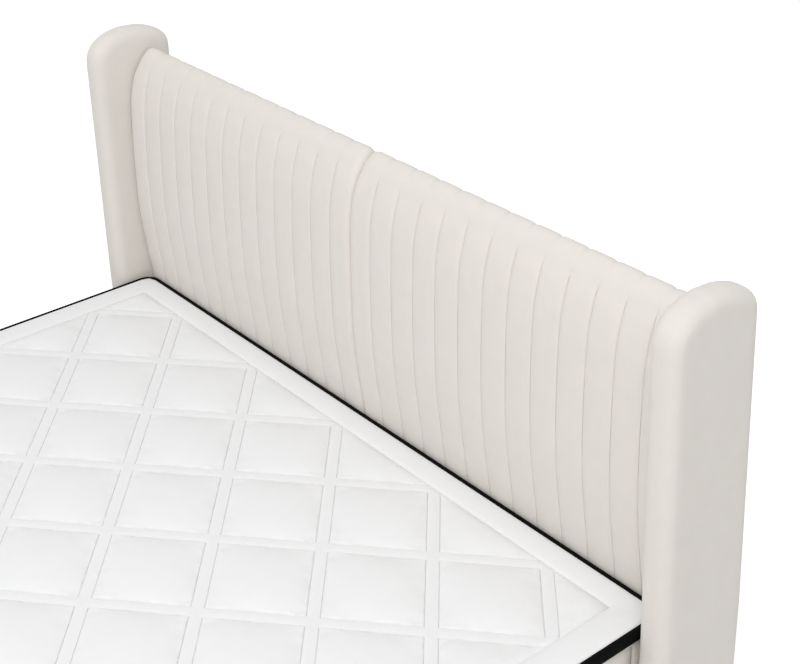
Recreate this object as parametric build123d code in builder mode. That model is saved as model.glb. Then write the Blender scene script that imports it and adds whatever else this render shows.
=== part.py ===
from build123d import *
import math
import os

# Box spring bed, millimetres. X runs across the bed, +Y towards the headboard, +Z up.
# The origin is at the middle of the bed's footprint, on the floor.
# Left and right are as seen from the foot end.

os.makedirs("parts", exist_ok=True)

# Sizes of the whole bed
bed_width = 1800
bed_length = 2000
foot_height = 50
box_height = 260
mattress_height = 258
topper_height = 32
head_gap = 2
wing_gap = 4
touch_gap = 0.2
cut_overrun = 5

# Headboard sizes, seen from the side
panel_rise = 612
panel_tuck = 80
wing_rise = 665
wing_forward = 95
wing_behind = 133
wing_thickness = 72
glide_height = 20

# Heights
box_bottom = foot_height
box_top = box_bottom + box_height
mattress_top = box_top + mattress_height
topper_top = mattress_top + topper_height
panel_bottom = topper_top - panel_tuck
panel_top = topper_top + panel_rise
wing_top = topper_top + wing_rise

# Places along Y: the boxes' head end, and the mattress a little short of it
head_y = (bed_length + head_gap - wing_behind) / 2
mattress_head_y = head_y - head_gap
mattress_middle_y = mattress_head_y - bed_length / 2
box_middle_y = head_y - bed_length / 2

# Places along X: two boxes meet at the middle, the wings stand just outside them
box_width = bed_width / 2
wing_inner_x = bed_width / 2 + wing_gap

sides = ((-1, "left"), (1, "right"))


# Headboard frame of plywood posts and rails
board_thickness = 12
frame_depth = 36
post_thickness = 30
rail_thickness = 18
mounting_rail_height = 70
mounting_rail_thickness = 30
back_cover_thickness = 5
panel_depth = 78
panel_back_y = head_y + panel_depth
frame_front_y = panel_back_y + board_thickness
frame_back_y = frame_front_y + frame_depth
lower_front_y = head_y + board_thickness
frame_drop = 80
frame_top = panel_top - frame_drop
board_top = frame_top + back_cover_thickness
top_rail_height = 60
shelf_bottom = panel_bottom - rail_thickness
outer_post_x = wing_inner_x - touch_gap - post_thickness / 2
post_middles = (-outer_post_x, 0, outer_post_x)
rail_length = outer_post_x - post_thickness - 2 * touch_gap
rail_middle_x = outer_post_x / 2

# Fasteners: M8 bolts with hexagon heads, and the wood screws of the panels
bolt_radius = 4
bolt_hole_radius = 4.2
bolt_head_radius = 7
bolt_head_height = 5.3
nut_barrel_radius = 5.5
nut_barrel_length = 10
nut_flange_radius = 11
nut_flange_thickness = 1.5
screw_radius = 2.5
screw_head_radius = 5
screw_head_depth = 2.5
screw_length = 44
screw_hole_radius = 2.7
screw_head_taper = math.degrees(math.atan2(screw_head_radius - screw_radius, screw_head_depth))

headboard_bolt_rise = 28
headboard_bolt_z = box_bottom + headboard_bolt_rise
headboard_bolt_inset = 250
headboard_bolt_x = (headboard_bolt_inset, box_width - headboard_bolt_inset)
wing_bolt_y = frame_front_y + frame_depth / 2
wing_bolt_end_gap = 90
wing_bolt_shelf_gap = 60
wing_bolt_z = (
    glide_height + wing_bolt_end_gap,
    shelf_bottom - wing_bolt_shelf_gap,
    frame_top - wing_bolt_end_gap,
)
panel_screw_low_gap = 120
panel_screw_high_gap = 60
panel_screw_z = (
    panel_bottom + panel_screw_low_gap,
    frame_top - top_rail_height - panel_screw_high_gap,
)
panel_screw_inset = 200
panel_screw_rail_x = (panel_screw_inset, wing_inner_x - panel_screw_inset)


# Wing cores: upright boards inside the padded wings, seated on the outer posts' bolts
wing_core_thickness = 24
wing_padding = (wing_thickness - wing_core_thickness) / 2
wing_core_margin = 36
wing_core_rear_margin = 9
wing_corner_radius = 84
wing_edge_radius = 28
wing_front_y = head_y - wing_forward
wing_back_y = head_y + wing_behind
wing_core_x = wing_inner_x + wing_padding + wing_core_thickness / 2
wing_core_corner = wing_corner_radius - wing_core_margin
wing_core_front_y = wing_front_y + wing_core_margin
wing_core_back_y = wing_back_y - wing_core_rear_margin
wing_core_top = wing_top - wing_core_margin

for side, side_name in sides:
    with BuildPart() as wing_core:
        with BuildSketch(Plane.YZ.offset(side * wing_core_x)):
            with BuildLine():
                FilletPolyline(
                    (wing_core_front_y, glide_height),
                    (wing_core_front_y, wing_core_top),
                    (wing_core_back_y, wing_core_top),
                    (wing_core_back_y, glide_height),
                    radius=wing_core_corner,
                )
                Line((wing_core_front_y, glide_height), (wing_core_back_y, glide_height))
            make_face()
        extrude(amount=wing_core_thickness / 2, both=True)
        outer_face = Plane.YZ.offset(side * (wing_core_x + wing_core_thickness / 2))
        with BuildSketch(outer_face):
            with Locations(*[(wing_bolt_y, z) for z in wing_bolt_z]):
                Circle(nut_barrel_radius + touch_gap)
        extrude(amount=-side * wing_core_thickness, mode=Mode.SUBTRACT)
        with BuildSketch(outer_face):
            with Locations(*[(wing_bolt_y, z) for z in wing_bolt_z]):
                Circle(nut_flange_radius + touch_gap)
        extrude(amount=-side * nut_flange_thickness, mode=Mode.SUBTRACT)
    wing_core.part.label = f"{side_name}_wing_core"
    export_step(wing_core.part, f"parts/{side_name}_wing_core.step")

    # The padded cover is a thick shell with rounded front, back and top, open below for the core.
    with BuildPart() as wing_cover:
        with BuildSketch(Plane.YZ.offset(side * wing_inner_x)):
            with BuildLine():
                FilletPolyline(
                    (wing_front_y, glide_height),
                    (wing_front_y, wing_top),
                    (wing_back_y, wing_top),
                    (wing_back_y, glide_height),
                    radius=wing_corner_radius,
                )
                Line((wing_front_y, glide_height), (wing_back_y, glide_height))
            make_face()
        extrude(amount=side * wing_thickness)
        rim = wing_cover.edges().filter_by_position(Axis.Z, glide_height + touch_gap, wing_top + touch_gap)
        fillet(rim.filter_by(lambda edge: abs(edge.tangent_at(0).X) < touch_gap), radius=wing_edge_radius)
        with BuildSketch(Plane.YZ.offset(side * wing_core_x)):
            with BuildLine():
                FilletPolyline(
                    (wing_core_front_y - touch_gap, glide_height - cut_overrun),
                    (wing_core_front_y - touch_gap, wing_core_top + touch_gap),
                    (wing_core_back_y + touch_gap, wing_core_top + touch_gap),
                    (wing_core_back_y + touch_gap, glide_height - cut_overrun),
                    radius=wing_core_corner,
                )
                Line(
                    (wing_core_front_y - touch_gap, glide_height - cut_overrun),
                    (wing_core_back_y + touch_gap, glide_height - cut_overrun),
                )
            make_face()
        extrude(amount=wing_core_thickness / 2 + touch_gap, both=True, mode=Mode.SUBTRACT)
        with BuildSketch(Plane.YZ.offset(side * (wing_inner_x - cut_overrun))):
            with Locations(*[(wing_bolt_y, z) for z in wing_bolt_z]):
                Circle(bolt_hole_radius)
        extrude(amount=side * (wing_padding + 2 * cut_overrun), mode=Mode.SUBTRACT)
    wing_cover.part.label = f"{side_name}_wing_cover"
    export_step(wing_cover.part, f"parts/{side_name}_wing_cover.step")


# Posts: notched boards, deep below the cushions and shallow behind them
for middle_x, post_name in zip(post_middles, ("left", "centre", "right")):
    with BuildPart() as post:
        with BuildSketch(Plane.YZ.offset(middle_x)):
            with BuildLine():
                Polyline(
                    (lower_front_y, glide_height),
                    (frame_back_y, glide_height),
                    (frame_back_y, frame_top - top_rail_height),
                    (frame_front_y, frame_top - top_rail_height),
                    (frame_front_y, panel_bottom),
                    (lower_front_y, panel_bottom),
                    (lower_front_y, glide_height),
                )
            make_face()
        extrude(amount=post_thickness / 2, both=True)
        if middle_x:
            with BuildSketch(Plane.YZ.offset(middle_x)):
                with Locations(*[(wing_bolt_y, z) for z in wing_bolt_z]):
                    Circle(bolt_hole_radius)
            extrude(amount=post_thickness, both=True, mode=Mode.SUBTRACT)
        with BuildSketch(Plane.XZ.offset(-frame_back_y)):
            offsets = (0,) if middle_x else (-post_thickness / 4, post_thickness / 4)
            with Locations(*[(middle_x + dx, z) for dx in offsets for z in panel_screw_z]):
                Circle(screw_hole_radius)
        extrude(amount=frame_depth + cut_overrun, both=True, mode=Mode.SUBTRACT)
        with BuildSketch(Plane.XZ.offset(-frame_back_y)):
            with Locations(*[(middle_x + dx, z) for dx in offsets for z in panel_screw_z]):
                Circle(screw_head_radius + touch_gap)
        extrude(amount=screw_head_depth, taper=screw_head_taper, mode=Mode.SUBTRACT)
    post.part.label = f"headboard_{post_name}_post"
    export_step(post.part, f"parts/headboard_{post_name}_post.step")

top_rail_screw_z = frame_top - top_rail_height / 2
post_screw_x = (post_thickness / 4, outer_post_x)
post_screw_places = [(s * x, z) for s in (-1, 1) for x in post_screw_x for z in panel_screw_z]
top_rail_screw_places = [(s * x, top_rail_screw_z) for s in (-1, 1) for x in panel_screw_rail_x]

with BuildPart() as top_rail:
    with BuildSketch(Plane.XY.offset(frame_top - top_rail_height)):
        with Locations((0, frame_front_y + frame_depth / 2)):
            Rectangle(2 * (wing_inner_x - touch_gap), frame_depth)
    extrude(amount=top_rail_height)
    with BuildSketch(Plane.XZ.offset(-frame_back_y)):
        with Locations(*top_rail_screw_places):
            Circle(screw_hole_radius)
    extrude(amount=frame_depth + cut_overrun, both=True, mode=Mode.SUBTRACT)
    with BuildSketch(Plane.XZ.offset(-frame_back_y)):
        with Locations(*top_rail_screw_places):
            Circle(screw_head_radius + touch_gap)
    extrude(amount=screw_head_depth, taper=screw_head_taper, mode=Mode.SUBTRACT)
top_rail.part.label = "headboard_top_rail"
export_step(top_rail.part, "parts/headboard_top_rail.step")

# Shelf boards close the deep lower box and carry the cushions.
with BuildPart() as shelves:
    with BuildSketch(Plane.XY.offset(shelf_bottom)):
        with Locations(*[(s * rail_middle_x, (lower_front_y + frame_back_y) / 2) for s in (-1, 1)]):
            Rectangle(rail_length, frame_back_y - lower_front_y)
    extrude(amount=rail_thickness)
shelves.part.label = "headboard_shelves"
export_step(shelves.part, "parts/headboard_shelves.step")

# Mounting rails sit behind the lower panel and take the bolts that hold the boxes.
with BuildPart() as mounting_rails:
    with BuildSketch(Plane.XZ.offset(-lower_front_y)):
        with Locations(*[(s * rail_middle_x, headboard_bolt_z) for s in (-1, 1)]):
            Rectangle(rail_length, mounting_rail_height)
    extrude(amount=-mounting_rail_thickness)
    with BuildSketch(Plane.XZ.offset(-lower_front_y)):
        with Locations(*[(s * x, headboard_bolt_z) for s in (-1, 1) for x in headboard_bolt_x]):
            Circle(nut_barrel_radius + touch_gap)
    extrude(amount=-mounting_rail_thickness, mode=Mode.SUBTRACT)
mounting_rails.part.label = "headboard_mounting_rails"
export_step(mounting_rails.part, "parts/headboard_mounting_rails.step")

# Plinth boards close the lower box below.
with BuildPart() as plinth_boards:
    with BuildSketch(Plane.XY.offset(glide_height)):
        with Locations(*[(s * rail_middle_x, (lower_front_y + frame_back_y) / 2) for s in (-1, 1)]):
            Rectangle(rail_length, frame_back_y - lower_front_y)
    extrude(amount=rail_thickness)
plinth_boards.part.label = "headboard_plinth_boards"
export_step(plinth_boards.part, "parts/headboard_plinth_boards.step")

# The lower panel is a fabric-covered board between the boxes and the frame.
with BuildPart() as lower_panel:
    with BuildSketch(Plane.XZ.offset(-head_y)):
        with Locations((0, (glide_height + panel_bottom) / 2)):
            Rectangle(2 * (wing_inner_x - touch_gap), panel_bottom - glide_height)
        with Locations(*[(s * x, headboard_bolt_z) for s in (-1, 1) for x in headboard_bolt_x]):
            Circle(bolt_hole_radius, mode=Mode.SUBTRACT)
    extrude(amount=-board_thickness)
lower_panel.part.label = "headboard_lower_panel"
export_step(lower_panel.part, "parts/headboard_lower_panel.step")

# The back cover closes the frame behind and folds over the top rail to the panel boards.
with BuildPart() as back_cover:
    with BuildSketch(Plane.YZ):
        with BuildLine():
            Polyline(
                (frame_back_y, glide_height),
                (frame_back_y + back_cover_thickness, glide_height),
                (frame_back_y + back_cover_thickness, frame_top + back_cover_thickness),
                (frame_front_y, frame_top + back_cover_thickness),
                (frame_front_y, frame_top),
                (frame_back_y, frame_top),
                (frame_back_y, glide_height),
            )
        make_face()
    extrude(amount=wing_inner_x - touch_gap, both=True)
back_cover.part.label = "headboard_back_cover"
export_step(back_cover.part, "parts/headboard_back_cover.step")


# Channel panels: each is an upholstered cushion with thirteen sewn vertical channels
channel_count = 13
panel_width = wing_inner_x - touch_gap
panel_half_gap = 0.3
panel_height = panel_top - panel_bottom
channel_swell = 5
panel_corner_inset = 24

# Each level: height up the panel, seam line behind the boxes' head end, channel swell and
# how far the corners draw in, as shares of the panel's height, depth, swell and inset
panel_level_shares = (
    (0.000, 0.80, 0.45, 0.35),
    (0.017, 0.54, 0.60, 0.15),
    (0.043, 0.35, 0.75, 0.00),
    (0.079, 0.20, 0.90, 0.00),
    (0.121, 0.05, 1.00, 0.00),
    (0.186, -0.07, 1.00, 0.00),
    (0.271, -0.15, 1.00, 0.00),
    (0.400, -0.21, 1.00, 0.00),
    (0.571, -0.21, 1.00, 0.00),
    (0.714, -0.14, 1.00, 0.00),
    (0.800, -0.07, 1.00, 0.00),
    (0.871, 0.03, 1.00, 0.00),
    (0.914, 0.13, 0.90, 0.05),
    (0.950, 0.28, 0.75, 0.18),
    (0.974, 0.44, 0.60, 0.45),
    (0.989, 0.58, 0.50, 0.72),
    (1.000, 0.72, 0.45, 1.00),
)

for side, side_name in sides:
    with BuildPart() as channel_panel:
        for height_share, seam_share, swell_share, inset_share in panel_level_shares:
            inset = panel_corner_inset * inset_share
            near_x = panel_half_gap + inset
            far_x = panel_width - inset / 2
            pitch = (far_x - near_x) / channel_count
            seam_y = head_y + panel_depth * seam_share
            with BuildSketch(Plane.XY.offset(panel_bottom + panel_height * height_share)):
                with BuildLine():
                    for n in range(channel_count):
                        start_x = side * (near_x + n * pitch)
                        end_x = side * (near_x + (n + 1) * pitch)
                        ThreePointArc(
                            (start_x, seam_y),
                            ((start_x + end_x) / 2, seam_y - channel_swell * swell_share),
                            (end_x, seam_y),
                        )
                    Polyline(
                        (side * far_x, seam_y),
                        (side * far_x, panel_back_y),
                        (side * near_x, panel_back_y),
                        (side * near_x, seam_y),
                    )
                make_face()
        loft(ruled=True)
    channel_panel.part.label = f"{side_name}_channel_panel"
    export_step(channel_panel.part, f"parts/{side_name}_channel_panel.step")

    # A plywood board carries the cushion and is screwed to the frame from behind.
    with BuildPart() as panel_board:
        with BuildSketch(Plane.XZ.offset(-panel_back_y)):
            with Locations((side * panel_width / 2, (panel_bottom + board_top) / 2)):
                Rectangle(panel_width - 2 * panel_half_gap, board_top - panel_bottom)
        extrude(amount=-board_thickness)
        with BuildSketch(Plane.XZ.offset(-frame_back_y)):
            with Locations(*[(side * x, top_rail_screw_z) for x in panel_screw_rail_x]):
                Circle(screw_hole_radius)
            with Locations(*[(side * x, z) for x in post_screw_x for z in panel_screw_z]):
                Circle(screw_hole_radius)
        extrude(amount=screw_length + touch_gap, mode=Mode.SUBTRACT)
    panel_board.part.label = f"{side_name}_panel_board"
    export_step(panel_board.part, f"parts/{side_name}_panel_board.step")

with BuildPart() as panel_screws:
    with BuildSketch(Plane.XZ.offset(-frame_back_y)):
        with Locations(*(top_rail_screw_places + post_screw_places)):
            Circle(screw_radius)
    extrude(amount=screw_length)
    with BuildSketch(Plane.XZ.offset(-frame_back_y)):
        with Locations(*(top_rail_screw_places + post_screw_places)):
            Circle(screw_head_radius)
    extrude(amount=screw_head_depth, taper=screw_head_taper)
panel_screws.part.label = "panel_screws"
export_step(panel_screws.part, "parts/panel_screws.step")


# Wing bolts run from inside the outer posts through the padding into the wing cores.
wing_bolt_head_x = outer_post_x - post_thickness / 2
wing_bolt_end_x = wing_core_x + wing_core_thickness / 2

with BuildPart() as wing_bolts:
    for side, side_name in sides:
        with BuildSketch(Plane.YZ.offset(side * wing_bolt_head_x)):
            with Locations(*[(wing_bolt_y, z) for z in wing_bolt_z]):
                Circle(bolt_radius)
        extrude(amount=side * (wing_bolt_end_x - wing_bolt_head_x))
        with BuildSketch(Plane.YZ.offset(side * wing_bolt_head_x)):
            with Locations(*[(wing_bolt_y, z) for z in wing_bolt_z]):
                RegularPolygon(bolt_head_radius, side_count=6)
        extrude(amount=-side * bolt_head_height)
wing_bolts.part.label = "wing_bolts"
export_step(wing_bolts.part, "parts/wing_bolts.step")

with BuildPart() as wing_nuts:
    for side, side_name in sides:
        with BuildSketch(Plane.YZ.offset(side * wing_bolt_end_x)):
            with Locations(*[(wing_bolt_y, z) for z in wing_bolt_z]):
                Circle(nut_flange_radius)
        extrude(amount=-side * nut_flange_thickness)
        with BuildSketch(Plane.YZ.offset(side * wing_bolt_end_x)):
            with Locations(*[(wing_bolt_y, z) for z in wing_bolt_z]):
                Circle(nut_barrel_radius)
        extrude(amount=-side * nut_barrel_length)
        with BuildSketch(Plane.YZ.offset(side * wing_bolt_end_x)):
            with Locations(*[(wing_bolt_y, z) for z in wing_bolt_z]):
                Circle(bolt_radius + touch_gap / 2)
        extrude(amount=-side * nut_barrel_length, mode=Mode.SUBTRACT)
wing_nuts.part.label = "wing_nuts"
export_step(wing_nuts.part, "parts/wing_nuts.step")


# Headboard glides: round plastic pads under the three posts
glide_radius = 20
glide_y = (lower_front_y + glide_radius, frame_back_y - glide_radius)

with BuildPart() as headboard_glides:
    with BuildSketch(Plane.XY):
        with Locations(*[(x, y) for x in post_middles for y in glide_y]):
            Circle(glide_radius)
    extrude(amount=glide_height)
    chamfer(headboard_glides.edges().group_by(Axis.Z)[0], length=glide_radius / 10)
headboard_glides.part.label = "headboard_glides"
export_step(headboard_glides.part, "parts/headboard_glides.step")


# Boxes: a timber frame with springs, closed by a padded fabric skirt
skirt_thickness = 6
skirt_corner_radius = 14
skirt_edge_radius = 5
dust_cloth_thickness = 1.5
top_cloth_thickness = 4
box_foam_height = 30
box_felt_height = 5
timber_thickness = 20
batten_width = 25
batten_height = 34
slat_thickness = 18
slat_width = 90
slat_count = 12
block_size = 60
foot_block_shares = (-1, 0, 1)
box_pocket_count = 25
box_string_count = 11
string_gap = 0.6
pocket_waist_share = 0.42

frame_width = box_width - 2 * skirt_thickness - 2 * touch_gap
frame_length = bed_length - 2 * skirt_thickness - 2 * touch_gap
timber_bottom = box_bottom + dust_cloth_thickness
timber_top = box_top - top_cloth_thickness - box_foam_height
inner_width = frame_width - 2 * timber_thickness
inner_length = frame_length - 2 * timber_thickness
slat_bottom = timber_bottom + batten_height
box_spring_bottom = slat_bottom + slat_thickness
box_spring_top = timber_top - box_felt_height
slat_pitch = (inner_length - slat_width - 2 * touch_gap) / (slat_count - 1)
block_y = inner_length / 2 - block_size / 2 - touch_gap
block_x = inner_width / 2 - block_size / 2 - touch_gap
batten_length = block_y - block_size - 2 * touch_gap
connector_radius = 3
connector_leg = 40
connector_bridge = 8
connector_y = (box_middle_y - bed_length / 3, box_middle_y + bed_length / 3)
connector_x = skirt_thickness + timber_thickness / 2 + touch_gap


def spring_strings(count, pockets, width, length, height):
    """Rows of springs sewn in cloth pockets: each row is one scalloped prism."""
    row_pitch = width / count
    row_width = row_pitch - string_gap
    pocket = (length - string_gap) / pockets
    waist = row_width * pocket_waist_share
    with BuildSketch(mode=Mode.PRIVATE) as row:
        with BuildLine():
            for edge in (-1, 1):
                for n in range(pockets):
                    start = edge * (n * pocket - length / 2 + string_gap / 2)
                    ThreePointArc(
                        (edge * waist, start),
                        (edge * row_width / 2, start + edge * pocket / 2),
                        (edge * waist, start + edge * pocket),
                    )
                last = edge * (length / 2 - string_gap / 2)
                Line((edge * waist, last), (-edge * waist, last))
        make_face()
    with GridLocations(row_pitch, 0, count, 1):
        add(row.sketch)
    extrude(amount=height)


for side, side_name in sides:
    box_x = side * box_width / 2

    with BuildPart() as side_boards:
        with BuildSketch(Plane.XY.offset(timber_bottom)):
            with Locations((box_x, box_middle_y)):
                with GridLocations(frame_width - timber_thickness, 0, 2, 1):
                    Rectangle(timber_thickness, frame_length)
        extrude(amount=timber_top - timber_bottom)
        with BuildSketch(Plane.XY.offset(timber_bottom)):
            with Locations(*[(side * connector_x, y) for y in connector_y]):
                Circle(connector_radius + touch_gap)
        extrude(amount=connector_leg, mode=Mode.SUBTRACT)
    side_boards.part.label = f"{side_name}_box_side_boards"
    export_step(side_boards.part, f"parts/{side_name}_box_side_boards.step")

    with BuildPart() as end_boards:
        with BuildSketch(Plane.XY.offset(timber_bottom)):
            with Locations((box_x, box_middle_y)):
                with GridLocations(0, frame_length - timber_thickness, 1, 2):
                    Rectangle(inner_width - 2 * touch_gap, timber_thickness)
        extrude(amount=timber_top - timber_bottom)
        with BuildSketch(Plane.XZ.offset(-head_y)):
            with Locations(*[(side * x, headboard_bolt_z) for x in headboard_bolt_x]):
                Circle(bolt_hole_radius)
        extrude(amount=timber_thickness + skirt_thickness + cut_overrun, mode=Mode.SUBTRACT)
    end_boards.part.label = f"{side_name}_box_end_boards"
    export_step(end_boards.part, f"parts/{side_name}_box_end_boards.step")

    # Blocks in the corners and halfway carry the feet, and battens between them the slats.
    with BuildPart() as foot_blocks:
        with BuildSketch(Plane.XY.offset(timber_bottom)):
            with Locations(*[(box_x + s * block_x, box_middle_y + k * block_y)
                             for s in (-1, 1) for k in foot_block_shares]):
                Rectangle(block_size, block_size)
                Circle(nut_barrel_radius + touch_gap, mode=Mode.SUBTRACT)
        extrude(amount=batten_height)
    foot_blocks.part.label = f"{side_name}_box_foot_blocks"
    export_step(foot_blocks.part, f"parts/{side_name}_box_foot_blocks.step")

    with BuildPart() as battens:
        with BuildSketch(Plane.XY.offset(timber_bottom)):
            with Locations(*[(box_x + s * (inner_width - batten_width) / 2, box_middle_y + k * block_y / 2)
                             for s in (-1, 1) for k in (-1, 1)]):
                Rectangle(batten_width, batten_length)
        extrude(amount=batten_height)
    battens.part.label = f"{side_name}_box_battens"
    export_step(battens.part, f"parts/{side_name}_box_battens.step")

    with BuildPart() as slats:
        with BuildSketch(Plane.XY.offset(slat_bottom)):
            with Locations((box_x, box_middle_y)):
                with GridLocations(0, slat_pitch, 1, slat_count):
                    Rectangle(inner_width - 2 * touch_gap, slat_width)
        extrude(amount=slat_thickness)
    slats.part.label = f"{side_name}_box_slats"
    export_step(slats.part, f"parts/{side_name}_box_slats.step")

    with BuildPart(Plane((box_x, box_middle_y, box_spring_bottom))) as box_springs:
        spring_strings(box_string_count, box_pocket_count, inner_width, inner_length,
                       box_spring_top - box_spring_bottom)
    box_springs.part.label = f"{side_name}_box_springs"
    export_step(box_springs.part, f"parts/{side_name}_box_springs.step")

    with BuildPart() as box_felt:
        with BuildSketch(Plane.XY.offset(box_spring_top)):
            with Locations((box_x, box_middle_y)):
                Rectangle(inner_width - 2 * touch_gap, inner_length - 2 * touch_gap)
        extrude(amount=box_felt_height)
    box_felt.part.label = f"{side_name}_box_felt"
    export_step(box_felt.part, f"parts/{side_name}_box_felt.step")

    with BuildPart() as box_foam:
        with BuildSketch(Plane.XY.offset(timber_top)):
            with Locations((box_x, box_middle_y)):
                Rectangle(frame_width, frame_length)
        extrude(amount=box_foam_height)
    box_foam.part.label = f"{side_name}_box_foam"
    export_step(box_foam.part, f"parts/{side_name}_box_foam.step")

    # The skirt is sewn to a ring, pulled over the box and stapled below.
    with BuildPart() as box_skirt:
        with BuildSketch(Plane.XY.offset(box_bottom)):
            with Locations((box_x, box_middle_y)):
                RectangleRounded(box_width, bed_length, skirt_corner_radius)
        extrude(amount=box_height)
        fillet(box_skirt.edges().group_by(Axis.Z)[-1], radius=skirt_edge_radius)
        with BuildSketch(Plane.XY.offset(box_bottom)):
            with Locations((box_x, box_middle_y)):
                Rectangle(frame_width + 2 * touch_gap, frame_length + 2 * touch_gap)
        extrude(amount=box_height, mode=Mode.SUBTRACT)
        with BuildSketch(Plane.XZ.offset(-head_y)):
            with Locations(*[(side * x, headboard_bolt_z) for x in headboard_bolt_x]):
                Circle(bolt_hole_radius)
        extrude(amount=skirt_thickness + cut_overrun, mode=Mode.SUBTRACT)
    box_skirt.part.label = f"{side_name}_box_skirt"
    export_step(box_skirt.part, f"parts/{side_name}_box_skirt.step")

    with BuildPart() as top_cloth:
        with BuildSketch(Plane.XY.offset(box_top - top_cloth_thickness)):
            with Locations((box_x, box_middle_y)):
                Rectangle(frame_width, frame_length)
        extrude(amount=top_cloth_thickness)
    top_cloth.part.label = f"{side_name}_box_top_cloth"
    export_step(top_cloth.part, f"parts/{side_name}_box_top_cloth.step")

    with BuildPart() as dust_cloth:
        with BuildSketch(Plane.XY.offset(box_bottom)):
            with Locations((box_x, box_middle_y)):
                Rectangle(frame_width, frame_length)
            with Locations(*[(box_x + s * block_x, box_middle_y + k * block_y)
                             for s in (-1, 1) for k in foot_block_shares]):
                Circle(bolt_hole_radius, mode=Mode.SUBTRACT)
            with Locations(*[(side * connector_x, y) for y in connector_y]):
                Circle(connector_radius + touch_gap, mode=Mode.SUBTRACT)
        extrude(amount=dust_cloth_thickness)
    dust_cloth.part.label = f"{side_name}_box_dust_cloth"
    export_step(dust_cloth.part, f"parts/{side_name}_box_dust_cloth.step")


# Feet: turned cones on M8 studs, six under each box
foot_top_radius = 30
foot_bottom_radius = 23
foot_edge = 2
stud_depth = 30
foot_places = [
    (s * (box_width / 2 + t * block_x), box_middle_y + k * block_y)
    for s in (-1, 1) for t in (-1, 1) for k in foot_block_shares
]

with BuildPart() as feet:
    with BuildSketch(Plane.XY):
        with Locations(*foot_places):
            Circle(foot_bottom_radius)
    foot_taper = math.degrees(math.atan2(foot_top_radius - foot_bottom_radius, foot_height))
    extrude(amount=foot_height, taper=-foot_taper)
    chamfer(feet.edges().group_by(Axis.Z)[0], length=foot_edge)
    with BuildSketch(Plane.XY.offset(foot_height)):
        with Locations(*foot_places):
            Circle(bolt_radius + touch_gap / 2)
    extrude(amount=-stud_depth, mode=Mode.SUBTRACT)
feet.part.label = "feet"
export_step(feet.part, "parts/feet.step")

with BuildPart() as foot_studs:
    with BuildSketch(Plane.XY.offset(foot_height - stud_depth)):
        with Locations(*foot_places):
            Circle(bolt_radius)
    extrude(amount=stud_depth + dust_cloth_thickness + batten_height)
foot_studs.part.label = "foot_studs"
export_step(foot_studs.part, "parts/foot_studs.step")

with BuildPart() as foot_nuts:
    with BuildSketch(Plane.XY.offset(timber_bottom)):
        with Locations(*foot_places):
            Circle(nut_barrel_radius)
            Circle(bolt_radius + touch_gap / 2, mode=Mode.SUBTRACT)
    extrude(amount=batten_height)
foot_nuts.part.label = "foot_nuts"
export_step(foot_nuts.part, "parts/foot_nuts.step")

# Connectors: bent steel rods pushed up into both boxes' inner boards
with BuildPart() as box_connectors:
    connector_low = box_bottom - connector_bridge + connector_radius
    for y in connector_y:
        with BuildLine(Plane.XZ.offset(-y)) as rod:
            FilletPolyline(
                (-connector_x, timber_bottom + connector_leg - cut_overrun),
                (-connector_x, connector_low),
                (connector_x, connector_low),
                (connector_x, timber_bottom + connector_leg - cut_overrun),
                radius=2 * connector_radius - touch_gap,
            )
        with BuildSketch(Plane(rod.line @ 0, z_dir=rod.line % 0)):
            Circle(connector_radius)
        sweep(path=rod.line)
box_connectors.part.label = "box_connectors"
export_step(box_connectors.part, "parts/box_connectors.step")

# Headboard bolts pass from inside the boxes through skirt and lower panel to their nuts.
headboard_bolt_head_y = head_y - skirt_thickness - touch_gap - timber_thickness
headboard_bolt_end_y = lower_front_y + mounting_rail_thickness
headboard_bolt_places = [(s * x, headboard_bolt_z) for s in (-1, 1) for x in headboard_bolt_x]

with BuildPart() as headboard_bolts:
    with BuildSketch(Plane.XZ.offset(-headboard_bolt_head_y)):
        with Locations(*headboard_bolt_places):
            Circle(bolt_radius)
    extrude(amount=headboard_bolt_head_y - headboard_bolt_end_y)
    with BuildSketch(Plane.XZ.offset(-headboard_bolt_head_y)):
        with Locations(*headboard_bolt_places):
            RegularPolygon(bolt_head_radius, side_count=6)
    extrude(amount=bolt_head_height)
headboard_bolts.part.label = "headboard_bolts"
export_step(headboard_bolts.part, "parts/headboard_bolts.step")

with BuildPart() as headboard_nuts:
    with BuildSketch(Plane.XZ.offset(-headboard_bolt_end_y)):
        with Locations(*headboard_bolt_places):
            Circle(nut_flange_radius)
            Circle(bolt_radius + touch_gap / 2, mode=Mode.SUBTRACT)
    extrude(amount=-nut_flange_thickness)
    with BuildSketch(Plane.XZ.offset(-headboard_bolt_end_y)):
        with Locations(*headboard_bolt_places):
            Circle(nut_barrel_radius)
            Circle(bolt_radius + touch_gap / 2, mode=Mode.SUBTRACT)
    extrude(amount=nut_barrel_length)
headboard_nuts.part.label = "headboard_nuts"
export_step(headboard_nuts.part, "parts/headboard_nuts.step")


# Mattress: a channelled fabric border round springs between foams
border_thickness = 14
border_swell = 6
border_channels_across = 25
border_channels_along = 28
mattress_panel_height = 10
mattress_base_foam_height = 30
mattress_top_foam_height = 45
side_foam_width = 60
mattress_pocket_count = 25
mattress_string_count = 22

cavity_width = bed_width - 2 * border_swell - 2 * border_thickness
cavity_length = bed_length - 2 * border_swell - 2 * border_thickness
base_foam_bottom = box_top + mattress_panel_height
core_bottom = base_foam_bottom + mattress_base_foam_height
core_top = mattress_top - mattress_panel_height - mattress_top_foam_height
spring_width = cavity_width - 2 * side_foam_width - 4 * touch_gap
spring_length = cavity_length - 2 * side_foam_width - 4 * touch_gap

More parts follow.
